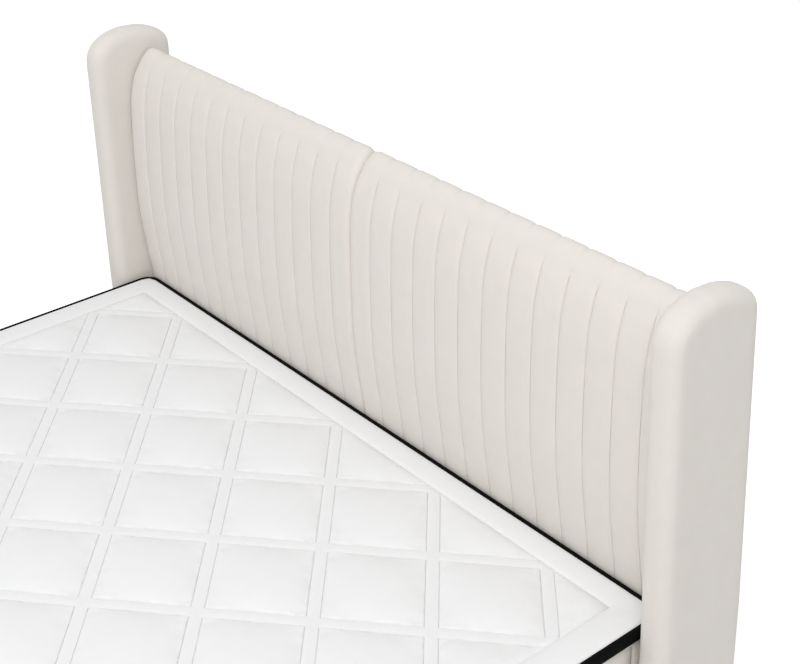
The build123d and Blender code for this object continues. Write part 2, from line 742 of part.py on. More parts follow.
with BuildPart() as mattress_border:
    with BuildSketch(Plane.XY.offset(box_top)):
        with BuildLine():
            half_width = bed_width / 2 - border_swell
            half_length = bed_length / 2 - border_swell
            corners = ((-half_width, -half_length), (half_width, -half_length),
                       (half_width, half_length), (-half_width, half_length))
            counts = (border_channels_across, border_channels_along) * 2
            for k, count in enumerate(counts):
                (ax, ay), (bx, by) = corners[k], corners[(k + 1) % len(corners)]
                run = math.hypot(bx - ax, by - ay)
                out_x, out_y = (by - ay) / run * border_swell, (ax - bx) / run * border_swell
                for n in range(count):
                    sx, sy = ax + (bx - ax) * n / count, ay + (by - ay) * n / count
                    ex, ey = ax + (bx - ax) * (n + 1) / count, ay + (by - ay) * (n + 1) / count
                    ThreePointArc(
                        (sx, sy + mattress_middle_y),
                        ((sx + ex) / 2 + out_x, (sy + ey) / 2 + out_y + mattress_middle_y),
                        (ex, ey + mattress_middle_y),
                    )
        make_face()
        with Locations((0, mattress_middle_y)):
            Rectangle(cavity_width, cavity_length, mode=Mode.SUBTRACT)
    extrude(amount=mattress_height)
mattress_border.part.label = "mattress_border"
export_step(mattress_border.part, "parts/mattress_border.step")

slabs = (
    ("mattress_bottom_panel", box_top, mattress_panel_height),
    ("mattress_base_foam", base_foam_bottom, mattress_base_foam_height),
    ("mattress_top_foam", core_top, mattress_top_foam_height),
    ("mattress_top_panel", mattress_top - mattress_panel_height, mattress_panel_height),
)
for slab_name, slab_bottom, slab_height in slabs:
    with BuildPart() as mattress_slab:
        with BuildSketch(Plane.XY.offset(slab_bottom)):
            with Locations((0, mattress_middle_y)):
                Rectangle(cavity_width - 2 * touch_gap, cavity_length - 2 * touch_gap)
        extrude(amount=slab_height)
    mattress_slab.part.label = slab_name
    export_step(mattress_slab.part, f"parts/{slab_name}.step")

with BuildPart() as side_foam:
    with BuildSketch(Plane.XY.offset(core_bottom)):
        with Locations((0, mattress_middle_y)):
            with GridLocations(cavity_width - side_foam_width - 2 * touch_gap, 0, 2, 1):
                Rectangle(side_foam_width, cavity_length - 2 * touch_gap)
            with GridLocations(0, cavity_length - side_foam_width - 2 * touch_gap, 1, 2):
                Rectangle(spring_width, side_foam_width)
    extrude(amount=core_top - core_bottom)
side_foam.part.label = "mattress_side_foam"
export_step(side_foam.part, "parts/mattress_side_foam.step")

with BuildPart(Plane((0, mattress_middle_y, core_bottom))) as mattress_springs:
    spring_strings(mattress_string_count, mattress_pocket_count, spring_width, spring_length,
                   core_top - core_bottom)
mattress_springs.part.label = "mattress_springs"
export_step(mattress_springs.part, "parts/mattress_springs.step")


# Topper: foam core, black bulged side band, and a top panel quilted in diamonds
topper_corner_radius = 38
band_bulge = 7
band_thickness = 10
topper_panel_height = 6
topper_bottom_height = 4
quilt_border = 64
diamonds_across = 5
diamonds_along = 6.5
quilt_strip = 26
pad_height = 6
pad_slope = 9

# Side band sections: height up the topper and how far the band draws in, as shares of its bulge
band_section_shares = (
    (0.00, 0.60),
    (0.10, 0.20),
    (0.28, 0.03),
    (0.50, 0.00),
    (0.72, 0.03),
    (0.90, 0.20),
    (1.00, 0.60),
)

panel_x = bed_width - 2 * band_bulge
panel_y = bed_length - 2 * band_bulge
core_x = bed_width - 2 * (band_bulge + band_thickness)
core_y = bed_length - 2 * (band_bulge + band_thickness)
core_corner = topper_corner_radius - band_bulge - band_thickness

with BuildPart() as side_band:
    for height_share, inset_share in band_section_shares:
        inset = band_bulge * inset_share
        with BuildSketch(Plane.XY.offset(mattress_top + topper_height * height_share)):
            with Locations((0, mattress_middle_y)):
                RectangleRounded(bed_width - 2 * inset, bed_length - 2 * inset, topper_corner_radius - inset)
    loft(ruled=True)
    with BuildSketch(Plane.XY.offset(mattress_top)):
        with Locations((0, mattress_middle_y)):
            RectangleRounded(core_x, core_y, core_corner)
    extrude(amount=topper_height, mode=Mode.SUBTRACT)
side_band.part.label = "topper_side_band"
export_step(side_band.part, "parts/topper_side_band.step")

topper_slabs = (
    ("topper_bottom_panel", mattress_top, topper_bottom_height),
    ("topper_core", mattress_top + topper_bottom_height,
     topper_height - topper_bottom_height - topper_panel_height),
)
for slab_name, slab_bottom, slab_height in topper_slabs:
    with BuildPart() as topper_slab:
        with BuildSketch(Plane.XY.offset(slab_bottom)):
            with Locations((0, mattress_middle_y)):
                RectangleRounded(core_x - 2 * touch_gap, core_y - 2 * touch_gap, core_corner)
        extrude(amount=slab_height)
    topper_slab.part.label = slab_name
    export_step(topper_slab.part, f"parts/{slab_name}.step")

# Quilting lines run between crossings that stand half a diamond apart in staggered rows.
quilt_x = panel_x - 2 * quilt_border
quilt_y = panel_y - 2 * quilt_border
cell_x = quilt_x / diamonds_across
cell_y = quilt_y / diamonds_along
pad_reach_x = cell_x / 2 - quilt_strip / 2 * math.hypot(cell_x, cell_y) / cell_y
pad_reach_y = pad_reach_x * cell_y / cell_x
quilt_columns = 2 * diamonds_across
quilt_rows = round(2 * diamonds_along)

with BuildPart() as quilted_panel:
    with BuildSketch(Plane.XY.offset(topper_top - topper_panel_height)):
        with Locations((0, mattress_middle_y)):
            RectangleRounded(core_x - 2 * touch_gap, core_y - 2 * touch_gap, core_corner)
    extrude(amount=topper_panel_height)
    with BuildSketch(Plane.XY.offset(topper_top)) as pads:
        for column in range(quilt_columns + 1):
            for row in range(quilt_rows + 1):
                if (column + row) % 2 == 0:
                    x = (column - diamonds_across) * cell_x / 2
                    y = mattress_middle_y + quilt_y / 2 - row * cell_y / 2
                    with Locations((x, y)):
                        Polygon((-pad_reach_x, 0), (0, -pad_reach_y), (pad_reach_x, 0), (0, pad_reach_y))
        with Locations((0, mattress_middle_y)):
            Rectangle(quilt_x, quilt_y, mode=Mode.INTERSECT)
    extrude(amount=pad_height, taper=math.degrees(math.atan2(pad_slope, pad_height)))
quilted_panel.part.label = "topper_quilted_panel"
export_step(quilted_panel.part, "parts/topper_quilted_panel.step")
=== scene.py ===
import bpy
import math
import numpy as np
from mathutils import Matrix, Vector, kdtree
from mathutils.geometry import interpolate_bezier


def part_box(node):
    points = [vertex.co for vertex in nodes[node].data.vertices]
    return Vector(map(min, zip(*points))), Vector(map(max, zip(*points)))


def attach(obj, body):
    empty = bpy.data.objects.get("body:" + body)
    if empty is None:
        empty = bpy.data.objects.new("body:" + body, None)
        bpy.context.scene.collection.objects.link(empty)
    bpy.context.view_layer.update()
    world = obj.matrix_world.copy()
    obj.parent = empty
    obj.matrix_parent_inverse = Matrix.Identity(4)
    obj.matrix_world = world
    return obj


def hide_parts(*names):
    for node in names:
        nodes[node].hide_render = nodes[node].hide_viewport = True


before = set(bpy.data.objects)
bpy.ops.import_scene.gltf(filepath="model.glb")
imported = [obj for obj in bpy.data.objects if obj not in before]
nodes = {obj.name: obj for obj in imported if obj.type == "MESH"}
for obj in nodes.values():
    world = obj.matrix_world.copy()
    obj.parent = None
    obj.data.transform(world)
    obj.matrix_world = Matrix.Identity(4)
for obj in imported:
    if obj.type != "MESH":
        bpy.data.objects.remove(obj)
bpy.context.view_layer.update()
bpy.ops.object.select_all(action="DESELECT")

# Camera: a person's view from above the bed's right side towards the headboard, with a long lens.
# The photograph is 800 by 664 pixels, and its lens is centred at lens_centre on it.
photo_width = 800
photo_height = 664
sensor_width = 36.0
focal_pixels = 1511.0
lens_centre = (440.0, 280.0)
camera_spot = (2.3089, -0.7426, 2.4244)
camera_yaw = math.radians(50.42)
camera_pitch = math.radians(27.76)
camera_roll = math.radians(-1.545)

bpy.ops.object.camera_add(location=camera_spot)
camera = bpy.context.object
camera.rotation_euler = (
    Matrix.Rotation(camera_yaw, 3, "Z")
    @ Matrix.Rotation(math.pi / 2 - camera_pitch, 3, "X")
    @ Matrix.Rotation(camera_roll, 3, "Z")
).to_euler()
camera.data.sensor_width = sensor_width
camera.data.lens = focal_pixels * sensor_width / photo_width
camera.data.shift_x = (photo_width / 2 - lens_centre[0]) / photo_width
camera.data.shift_y = (lens_centre[1] - photo_height / 2) / photo_width
camera.data.clip_end = 100
bpy.context.scene.camera = camera
bpy.context.scene.view_settings.view_transform = "Standard"

# Room: an even white sky, one broad soft lamp high on the right beyond the foot end, and a pale
# studio floor that stays white to the camera except in the bed's deeper shadow.
sky_strength = 0.72
key_power = 216
key_size = 5.0
key_spot = Vector((2.80, -2.85, 5.90))
key_aim = Vector((0.0, 0.9, 0.7))
floor_size = 60
floor_tone = 0.78
floor_lift = 0.50


def new_node(tree, kind, **values):
    """A new shader node of this kind in this tree, with these input values."""
    node = tree.nodes.new(f"ShaderNode{kind}")
    for label, value in values.items():
        node.inputs[label].default_value = value
    return node


def link(output, socket):
    """Wires a node's output to another node's socket."""
    output.id_data.links.new(output, socket)


world = bpy.data.worlds.new("studio")
bpy.context.scene.world = world
world.use_nodes = True
sky = world.node_tree
sky.nodes.clear()
sky_light = new_node(sky, "Background", Color=(1, 1, 1, 1), Strength=sky_strength)
sky_seen = new_node(sky, "Background", Color=(1, 1, 1, 1))
sky_rays = new_node(sky, "LightPath")
sky_mix = new_node(sky, "MixShader")
sky_out = new_node(sky, "OutputWorld")
sky_any = new_node(sky, "Math")
sky_any.operation = "MAXIMUM"
link(sky_rays.outputs["Is Camera Ray"], sky_any.inputs[0])
link(sky_rays.outputs["Is Glossy Ray"], sky_any.inputs[1])
link(sky_any.outputs[0], sky_mix.inputs[0])
link(sky_light.outputs[0], sky_mix.inputs[1])
link(sky_seen.outputs[0], sky_mix.inputs[2])
link(sky_mix.outputs[0], sky_out.inputs["Surface"])

bpy.ops.object.light_add(type="AREA", location=key_spot)
key = bpy.context.object
key.data.shape = "DISK"
key.data.size = key_size
key.data.energy = key_power
key.rotation_euler = (key_aim - key_spot).to_track_quat("-Z", "Y").to_euler()

bpy.ops.mesh.primitive_plane_add(size=floor_size, location=(0, 0, 0))
floor = bpy.context.object
floor.name = "studio_floor"
floor_paint = bpy.data.materials.new("studio_floor")
floor_paint.use_nodes = True
tree = floor_paint.node_tree
tree.nodes.clear()
matt = new_node(tree, "BsdfDiffuse", Color=(floor_tone, floor_tone, floor_tone, 1))
glow = new_node(tree, "Emission")
rays = new_node(tree, "LightPath")
lift = new_node(tree, "Math")
lift.operation = "MULTIPLY"
lift.inputs[1].default_value = floor_lift
both = new_node(tree, "AddShader")
out = new_node(tree, "OutputMaterial")
link(rays.outputs["Is Camera Ray"], lift.inputs[0])
link(lift.outputs[0], glow.inputs["Strength"])
link(matt.outputs[0], both.inputs[0])
link(glow.outputs[0], both.inputs[1])
link(both.outputs[0], out.inputs["Surface"])
floor.data.materials.append(floor_paint)


# Box frames: planed softwood boards, blocks, battens and slats, glued and stapled, and the posts,
# rails and boards of the headboard. The grain runs along each board.
pine_light = (0.74, 0.56, 0.35, 1)
pine_dark = (0.55, 0.36, 0.19, 1)
pine_rings = 34.0
birch_light = (0.78, 0.64, 0.44, 1)
birch_dark = (0.66, 0.50, 0.31, 1)
birch_rings = 12.0
grain_stretch = 0.12
ring_wander = 0.11
ring_edge = 2.2


def new_group(name, inputs):
    """An empty shader node group with these inputs, and a colour, a height and a roughness out."""
    made = bpy.data.node_groups.new(name, "ShaderNodeTree")
    for kind, label, value in inputs:
        socket = made.interface.new_socket(label, in_out="INPUT", socket_type=f"NodeSocket{kind}")
        if value is not None:
            socket.default_value = value
    for kind, label in (("Color", "Colour"), ("Float", "Height"), ("Float", "Roughness")):
        made.interface.new_socket(label, in_out="OUTPUT", socket_type=f"NodeSocket{kind}")
    return made, made.nodes.new("NodeGroupInput"), made.nodes.new("NodeGroupOutput")


def calculate(tree, operation, *values):
    """A Math node on these values or sockets; returns its output."""
    node = new_node(tree, "Math")
    node.operation = operation
    for n, value in enumerate(values):
        if isinstance(value, (int, float)):
            node.inputs[n].default_value = value
        else:
            link(value, node.inputs[n])
    return node.outputs[0]


def speckle(tree, vector, scale, detail=3.0):
    """A noise texture's value, from about -0.5 to 0.5."""
    node = new_node(tree, "TexNoise", Scale=scale, Detail=detail)
    link(vector, node.inputs["Vector"])
    return calculate(tree, "SUBTRACT", node.outputs["Fac"], 0.5)


grain, g_in, g_out = new_group("timber_grain", (
    ("Vector", "Place", None),
    ("Color", "Light", pine_light),
    ("Color", "Dark", pine_dark),
    ("Float", "Rings", pine_rings),
))
g_stretch = new_node(grain, "VectorMath")
g_stretch.operation = "MULTIPLY"
g_stretch.inputs[1].default_value = (grain_stretch, 1, 1)
link(g_in.outputs["Place"], g_stretch.inputs[0])
g_wander = speckle(grain, g_stretch.outputs[0], scale=9, detail=4)
g_fine = speckle(grain, g_stretch.outputs[0], scale=260)
g_xyz = new_node(grain, "SeparateXYZ")
link(g_stretch.outputs[0], g_xyz.inputs[0])
g_across = calculate(grain, "MULTIPLY", g_xyz.outputs[2], 0.6)
g_across = calculate(grain, "ADD", g_xyz.outputs[1], g_across)
g_across = calculate(grain, "ADD", g_across, calculate(grain, "MULTIPLY", g_wander, ring_wander))
g_turns = calculate(grain, "MULTIPLY", g_across, g_in.outputs["Rings"])
g_turns = calculate(grain, "MULTIPLY", g_turns, 2 * math.pi)
g_ring = calculate(grain, "MULTIPLY_ADD", calculate(grain, "SINE", g_turns), 0.5, 0.5)
g_ring = calculate(grain, "POWER", g_ring, ring_edge)
g_dark = calculate(grain, "MULTIPLY", g_ring, 0.5)
g_dark = calculate(grain, "MULTIPLY_ADD", g_fine, 0.35, g_dark)
g_mix = new_node(grain, "Mix")
g_mix.data_type = "RGBA"
link(g_dark, g_mix.inputs[0])
link(g_in.outputs["Light"], g_mix.inputs[6])
link(g_in.outputs["Dark"], g_mix.inputs[7])
link(g_mix.outputs[2], g_out.inputs["Colour"])
link(calculate(grain, "MULTIPLY_ADD", g_ring, -0.4, g_fine), g_out.inputs["Height"])
link(calculate(grain, "MULTIPLY_ADD", g_fine, 0.25, 0.62), g_out.inputs["Roughness"])


def finish_shader(made, group, relief, specular=0.4):
    """Wires a group's Colour, Roughness and Height outputs into the material's shader."""
    tree = made.node_tree
    shader = tree.nodes["Principled BSDF"]
    shader.inputs["Specular IOR Level"].default_value = specular
    bump = new_node(tree, "Bump", Distance=relief, Strength=0.8)
    link(group.outputs["Colour"], shader.inputs["Base Color"])
    link(group.outputs["Roughness"], shader.inputs["Roughness"])
    link(group.outputs["Height"], bump.inputs["Height"])
    link(bump.outputs["Normal"], shader.inputs["Normal"])
    return shader


def grouped_material(name, group, **values):
    """A new material holding one group node with these input values."""
    made = bpy.data.materials.new(name)
    made.use_nodes = True
    node = new_node(made.node_tree, "Group")
    node.node_tree = group
    for label, value in values.items():
        node.inputs[label].default_value = value
    return made, node


def timber_material(name, along, light=pine_light, dark=pine_dark, rings=pine_rings):
    """Timber whose grain runs along the given axis of the bed."""
    made, node = grouped_material(name, grain, Light=light, Dark=dark, Rings=rings)
    tree = made.node_tree
    place = new_node(tree, "TexCoord")
    turn = new_node(tree, "Mapping")
    turn.inputs["Rotation"].default_value = {
        "x": (0, 0, 0), "y": (0, 0, math.pi / 2), "z": (0, math.pi / 2, 0)
    }[along]
    link(place.outputs["Object"], turn.inputs["Vector"])
    link(turn.outputs["Vector"], node.inputs["Place"])
    finish_shader(made, node, relief=0.0003)
    return made


def paint_nodes(material, *names):
    """Gives these CAD nodes this material."""
    for name in names:
        piece = nodes[name]
        if not piece.material_slots:
            piece.data.materials.append(material)
        for slot in piece.material_slots:
            slot.material = material


pine_x = timber_material("pine_along_x", "x")
pine_y = timber_material("pine_along_y", "y")
pine_z = timber_material("pine_along_z", "z")
birch_ply = timber_material("birch_plywood", "z", birch_light, birch_dark, birch_rings)
sides = ((-1, "left"), (1, "right"))
for side, side_name in sides:
    paint_nodes(pine_y, f"{side_name}_box_side_boards", f"{side_name}_box_battens")
    paint_nodes(pine_x, f"{side_name}_box_end_boards", f"{side_name}_box_slats")
    paint_nodes(pine_z, f"{side_name}_box_foot_blocks", f"headboard_{side_name}_post")
    paint_nodes(birch_ply, f"{side_name}_wing_core", f"{side_name}_panel_board")
paint_nodes(pine_z, "headboard_centre_post")
paint_nodes(
    pine_x, "headboard_top_rail", "headboard_shelves", "headboard_mounting_rails",
    "headboard_plinth_boards",
)


# Fittings: steel bolts, studs, nuts and screws, and the two clips that join the boxes. All are zinc
# plated, and the zinc has dulled in soft clouds.
zinc_grey = (0.62, 0.62, 0.63, 1)


def tint(group, g_in, g_out, amount):
    """Sends the group's colour, made lighter or darker by this amount, to its output."""
    scaled = new_node(group, "VectorMath")
    scaled.operation = "SCALE"
    link(g_in.outputs["Colour"], scaled.inputs[0])
    link(amount, scaled.inputs["Scale"])
    link(scaled.outputs[0], g_out.inputs["Colour"])


zinc, z_in, z_out = new_group(
    "dulled_metal", (("Color", "Colour", zinc_grey), ("Float", "Roughness", 0.34))
)
z_place = new_node(zinc, "TexCoord").outputs["Object"]
z_cloud = speckle(zinc, z_place, scale=90, detail=4)
z_fine = speckle(zinc, z_place, scale=900, detail=2)
tint(zinc, z_in, z_out, calculate(zinc, "MULTIPLY_ADD", z_cloud, 0.3, 1.0))
link(z_fine, z_out.inputs["Height"])
z_rough = calculate(zinc, "MULTIPLY_ADD", z_cloud, 0.3, z_in.outputs["Roughness"])
link(z_rough, z_out.inputs["Roughness"])
zinc_plate, zinc_node = grouped_material("zinc_plate", zinc)
zinc_shader = finish_shader(zinc_plate, zinc_node, relief=0.00005)
zinc_shader.inputs["Metallic"].default_value = 1.0
paint_nodes(
    zinc_plate, "panel_screws", "wing_bolts", "wing_nuts", "headboard_bolts", "headboard_nuts",
    "foot_studs", "foot_nuts", "box_connectors",
)

# Feet and glides: round feet screwed onto studs under the boxes, and flat glides under the
# headboard, moulded in satin black plastic with a fine grain.
plastic_black = (0.020, 0.020, 0.021, 1)
black_plastic, plastic_node = grouped_material(
    "black_plastic", zinc, Colour=plastic_black, Roughness=0.5
)
finish_shader(black_plastic, plastic_node, relief=0.00012, specular=0.5)
paint_nodes(black_plastic, "feet", "headboard_glides")


# Filling: pocket springs in white fleece, felt over them, and open-celled foam. The fleece has
# point-bonded dimples, and the foam has fine cells.
filling, f_in, f_out = new_group("filling", (
    ("Color", "Colour", (0.86, 0.84, 0.76, 1)),
    ("Float", "Cell", 420.0),
    ("Float", "Mottle", 0.2),
))
f_place = new_node(filling, "TexCoord").outputs["Object"]
f_cells = new_node(filling, "TexVoronoi")
link(f_in.outputs["Cell"], f_cells.inputs["Scale"])
link(f_place, f_cells.inputs["Vector"])
f_cloud = speckle(filling, f_place, scale=14, detail=4)
f_hollow = calculate(filling, "SUBTRACT", f_cells.outputs["Distance"], 0.4)
f_hollow = calculate(filling, "MULTIPLY", f_hollow, 0.5)
f_tone = calculate(filling, "ADD", f_hollow, f_cloud)
f_tone = calculate(filling, "MULTIPLY", f_tone, f_in.outputs["Mottle"])
tint(filling, f_in, f_out, calculate(filling, "ADD", f_tone, 1.0))
link(f_cells.outputs["Distance"], f_out.inputs["Height"])
link(calculate(filling, "MULTIPLY_ADD", f_cloud, 0.1, 0.92), f_out.inputs["Roughness"])


def filling_material(name, colour, cell, mottle, relief):
    """Foam, felt or fleece: cell is how many cells there are to a metre."""
    made, node = grouped_material(name, filling, Colour=colour, Cell=cell, Mottle=mottle)
    finish_shader(made, node, relief, specular=0.2)
    return made


foam = filling_material("foam", (0.84, 0.80, 0.68, 1), cell=520.0, mottle=0.22, relief=0.0008)
fleece = filling_material(
    "spring_fleece", (0.84, 0.84, 0.84, 1), cell=300.0, mottle=0.12, relief=0.0004
)
felt = filling_material("felt", (0.20, 0.20, 0.21, 1), cell=700.0, mottle=0.7, relief=0.0008)
dark_fleece = filling_material(
    "dark_fleece", (0.035, 0.035, 0.038, 1), cell=330.0, mottle=0.5, relief=0.0003
)
for side, side_name in sides:
    paint_nodes(foam, f"{side_name}_box_foam")
    paint_nodes(felt, f"{side_name}_box_felt")
    paint_nodes(fleece, f"{side_name}_box_springs")
paint_nodes(foam, "mattress_base_foam", "mattress_top_foam", "mattress_side_foam", "topper_core")
paint_nodes(fleece, "mattress_springs")


# Box skirts: cream upholstery cloth on thin wadding, pulled tight round each box, folded over the
# top edge with a sewn French seam, and stapled under the frame.
cream = (0.735, 0.700, 0.655, 1)
box_corner = 0.014
hem_height = 0.006
skirt_hem = ((0, -0.0062), (0, -0.0020), (0.0015, -0.0005), (hem_height, 0))
skirt_fold = (
    (0.0165, -0.0002), (0.0145, -0.0022), (0.0125, -0.0003), (0.0085, -0.0004), (0.0045, -0.0018),
    (0.0018, -0.0045), (0.0005, -0.0085), (0.0004, -0.0500), (0.0016, -0.0520),
)
skirt_plain = 0.236
skirt_sink = -0.0002
skirt_rows = 12
skirt_columns = 70
fold_inset = 0.0415
dust_inset = 0.002
sheet_columns = 40
sheet_rows = 90
sheet_swell = 0.0004
sheet_swells = (6, 14)
sheet_sink = 0.0009
sheet_drop = 0.0010
drop_start = 0.49
drop_width = 0.01
dust_sag = 0.0035
dust_lap = 0.0008
staple_dip = 0.0008
staple_gaps = 24
crease_angle = math.radians(50)

woven, w_in, w_out = new_group("woven_cloth", (
    ("Color", "Colour", cream),
    ("Float", "Thread", 0.0012),
    ("Float", "Mottle", 0.05),
    ("Float", "Roughness", 0.85),
))
w_place = new_node(woven, "TexCoord")
w_xyz = new_node(woven, "SeparateXYZ")
link(w_place.outputs["Object"], w_xyz.inputs[0])
w_facing = new_node(woven, "SeparateXYZ")
link(w_place.outputs["Normal"], w_facing.inputs[0])
turns = calculate(woven, "DIVIDE", math.pi, w_in.outputs["Thread"])
waves = [calculate(woven, "MULTIPLY", w_xyz.outputs[n], turns) for n in range(3)]
waves = [calculate(woven, "SINE", wave) for wave in waves]
facings = [calculate(woven, "ABSOLUTE", w_facing.outputs[n]) for n in range(3)]
facings = [calculate(woven, "POWER", facing, 2) for facing in facings]
knots = [
    calculate(woven, "MULTIPLY", calculate(woven, "MULTIPLY", waves[a], waves[b]), facings[c])
    for a, b, c in ((1, 2, 0), (2, 0, 1), (0, 1, 2))
]
weave = calculate(woven, "ADD", calculate(woven, "ADD", knots[0], knots[1]), knots[2])
uneven = speckle(woven, w_place.outputs["Object"], scale=420)
cloudy = speckle(woven, w_place.outputs["Object"], scale=26, detail=4)
tone = calculate(woven, "ADD", calculate(woven, "MULTIPLY", uneven, 0.7), cloudy)
tone = calculate(woven, "MULTIPLY_ADD", weave, 0.18, tone)
tint(woven, w_in, w_out, calculate(woven, "MULTIPLY_ADD", tone, w_in.outputs["Mottle"], 1.0))
link(calculate(woven, "MULTIPLY_ADD", weave, 0.5, uneven), w_out.inputs["Height"])
rough = calculate(woven, "MULTIPLY_ADD", uneven, 0.12, w_in.outputs["Roughness"])
link(rough, w_out.inputs["Roughness"])


def cloth_material(name, colour, thread, mottle, roughness, relief, sheen, specular=0.25):
    """A material of woven cloth: thread is its pitch and relief its bump, both in metres."""
    made, node = grouped_material(
        name, woven, Colour=colour, Thread=thread, Mottle=mottle, Roughness=roughness
    )
    shader = finish_shader(made, node, relief, specular)
    shader.inputs["Sheen Weight"].default_value = sheen
    shader.inputs["Sheen Roughness"].default_value = 0.45
    return made


upholstery = cloth_material(
    "cream_upholstery", cream, thread=0.0011, mottle=0.06, roughness=0.88, relief=0.00025,
    sheen=0.12,
)


def read(rows, what, width=3, kind=float):
    """One property of these points, edges or normals, a row for each."""
    found = np.zeros(len(rows) * width, kind)
    rows.foreach_get(what, found)
    return found.reshape(-1, width)


def places(piece):
    """The mesh's points, as rows of x, y, z."""
    return read(piece.data.vertices, "co")


def put(piece, co):
    """Moves the mesh's points to these rows of x, y, z."""
    piece.data.vertices.foreach_set("co", np.asarray(co, float).ravel())
    piece.data.update()


def select_only(piece):
    """Selects this piece alone and makes it the active one."""
    bpy.ops.object.select_all(action="DESELECT")
    piece.select_set(True)
    bpy.context.view_layer.objects.active = piece


def pick(piece, kind, chosen=None):
    """Goes into edit mode with only these points, edges or faces selected, or with all of them."""
    select_only(piece)
    bpy.ops.object.mode_set(mode="EDIT")
    bpy.ops.mesh.select_mode(type=kind)
    bpy.ops.mesh.select_all(action="DESELECT")
    bpy.ops.object.mode_set(mode="OBJECT")
    mesh = piece.data
    rows = {"VERT": mesh.vertices, "EDGE": mesh.edges, "FACE": mesh.polygons}[kind]
    flags = np.zeros(len(rows), bool)
    flags[slice(None) if chosen is None else np.asarray(chosen, int)] = True
    rows.foreach_set("select", flags)
    bpy.ops.object.mode_set(mode="EDIT")


def done():
    """Leaves edit mode with nothing selected."""
    bpy.ops.mesh.select_all(action="DESELECT")
    bpy.ops.object.mode_set(mode="OBJECT")
    bpy.ops.object.select_all(action="DESELECT")


def edge_ends(piece):
    """The two point numbers of each edge."""
    return read(piece.data.edges, "vertices", 2, int)


def dress(piece, material, body, slot, *replaced, fill=None):
    """Smooths a finished piece, gives it its material and body and hides the nodes it replaces;
    slot is not used.
    """
    select_only(piece)
    bpy.ops.object.shade_smooth_by_angle(angle=crease_angle)
    piece.select_set(False)
    piece.data.materials.clear()
    piece.data.materials.append(material)
    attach(piece, body)
    if replaced:
        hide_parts(*replaced)


def new_grid(name, columns, rows):
    """A flat grid, and where its points are on it, from 0 to 1 each way."""
    bpy.ops.mesh.primitive_grid_add(x_subdivisions=columns, y_subdivisions=rows, size=1)
    piece = bpy.context.object
    piece.name = name
    return piece, places(piece) + 0.5


def weld(piece, gap=0.00002):
    """Merges the points that lie within this gap of each other."""
    pick(piece, "VERT")
    bpy.ops.mesh.remove_doubles(threshold=gap)
    done()


def turn_over(piece):
    """Makes all the piece's faces point the other way."""
    pick(piece, "FACE")
    bpy.ops.mesh.flip_normals()
    done()


def footprint(low, high):
    """The middle and the half sizes of a box seen from above."""
    low, high = np.array(low)[:2], np.array(high)[:2]
    return (low + high) / 2, (high - low) / 2


def wrap(name, middle, half, corner, counts, per_channel, levels, shape=None):
    """A wall of cloth round a rounded rectangle, anticlockwise from its front left corner.

    counts is how many channels the front and the sides have, and levels are (height, how far the
    wall stands out, how full the channels are). shape gives a channel's fullness across it.
    """
    columns = 2 * sum(counts) * per_channel
    rows = len(levels) - 1
    wall, unit = new_grid(name, columns, rows)
    column = np.rint(unit[:, 0] * columns).astype(int)
    level = np.rint(unit[:, 1] * rows).astype(int)
    rise, outward, fullness = np.array(levels).T
    starts = np.cumsum([0, *counts, *counts]) * per_channel
    run = np.clip(np.searchsorted(starts, column, side="right") - 1, 0, 3)
    along = (column - starts[run]) / (starts[run + 1] - starts[run])
    turn = np.array(((-1, -1), (1, -1), (1, 1), (-1, 1), (-1, -1)))
    reach = half + outward[level][:, None]
    flat = (turn[run] * (1 - along)[:, None] + turn[run + 1] * along[:, None]) * reach
    radius = np.maximum(corner + outward[level], 1e-4)[:, None]
    hub = np.sign(flat) * (reach - radius)
    arm = np.where(np.abs(flat) > np.abs(hub), flat - hub, 0)
    at_corner = (np.abs(arm).min(1) > 1e-9) & (radius[:, 0] > 2e-4)
    face = np.where(np.abs(flat) > reach - 1e-7, np.sign(flat), 0).astype(float)
    face[at_corner] = arm[at_corner]
    face /= np.linalg.norm(face, axis=1, keepdims=True)
    flat[at_corner] = (hub + face * radius)[at_corner]
    if shape is not None:
        share = (column % per_channel) / per_channel
        flat += face * (shape(share) * fullness[level])[:, None]
    put(wall, np.column_stack((middle + flat, rise[level])))
    weld(wall)
    return wall


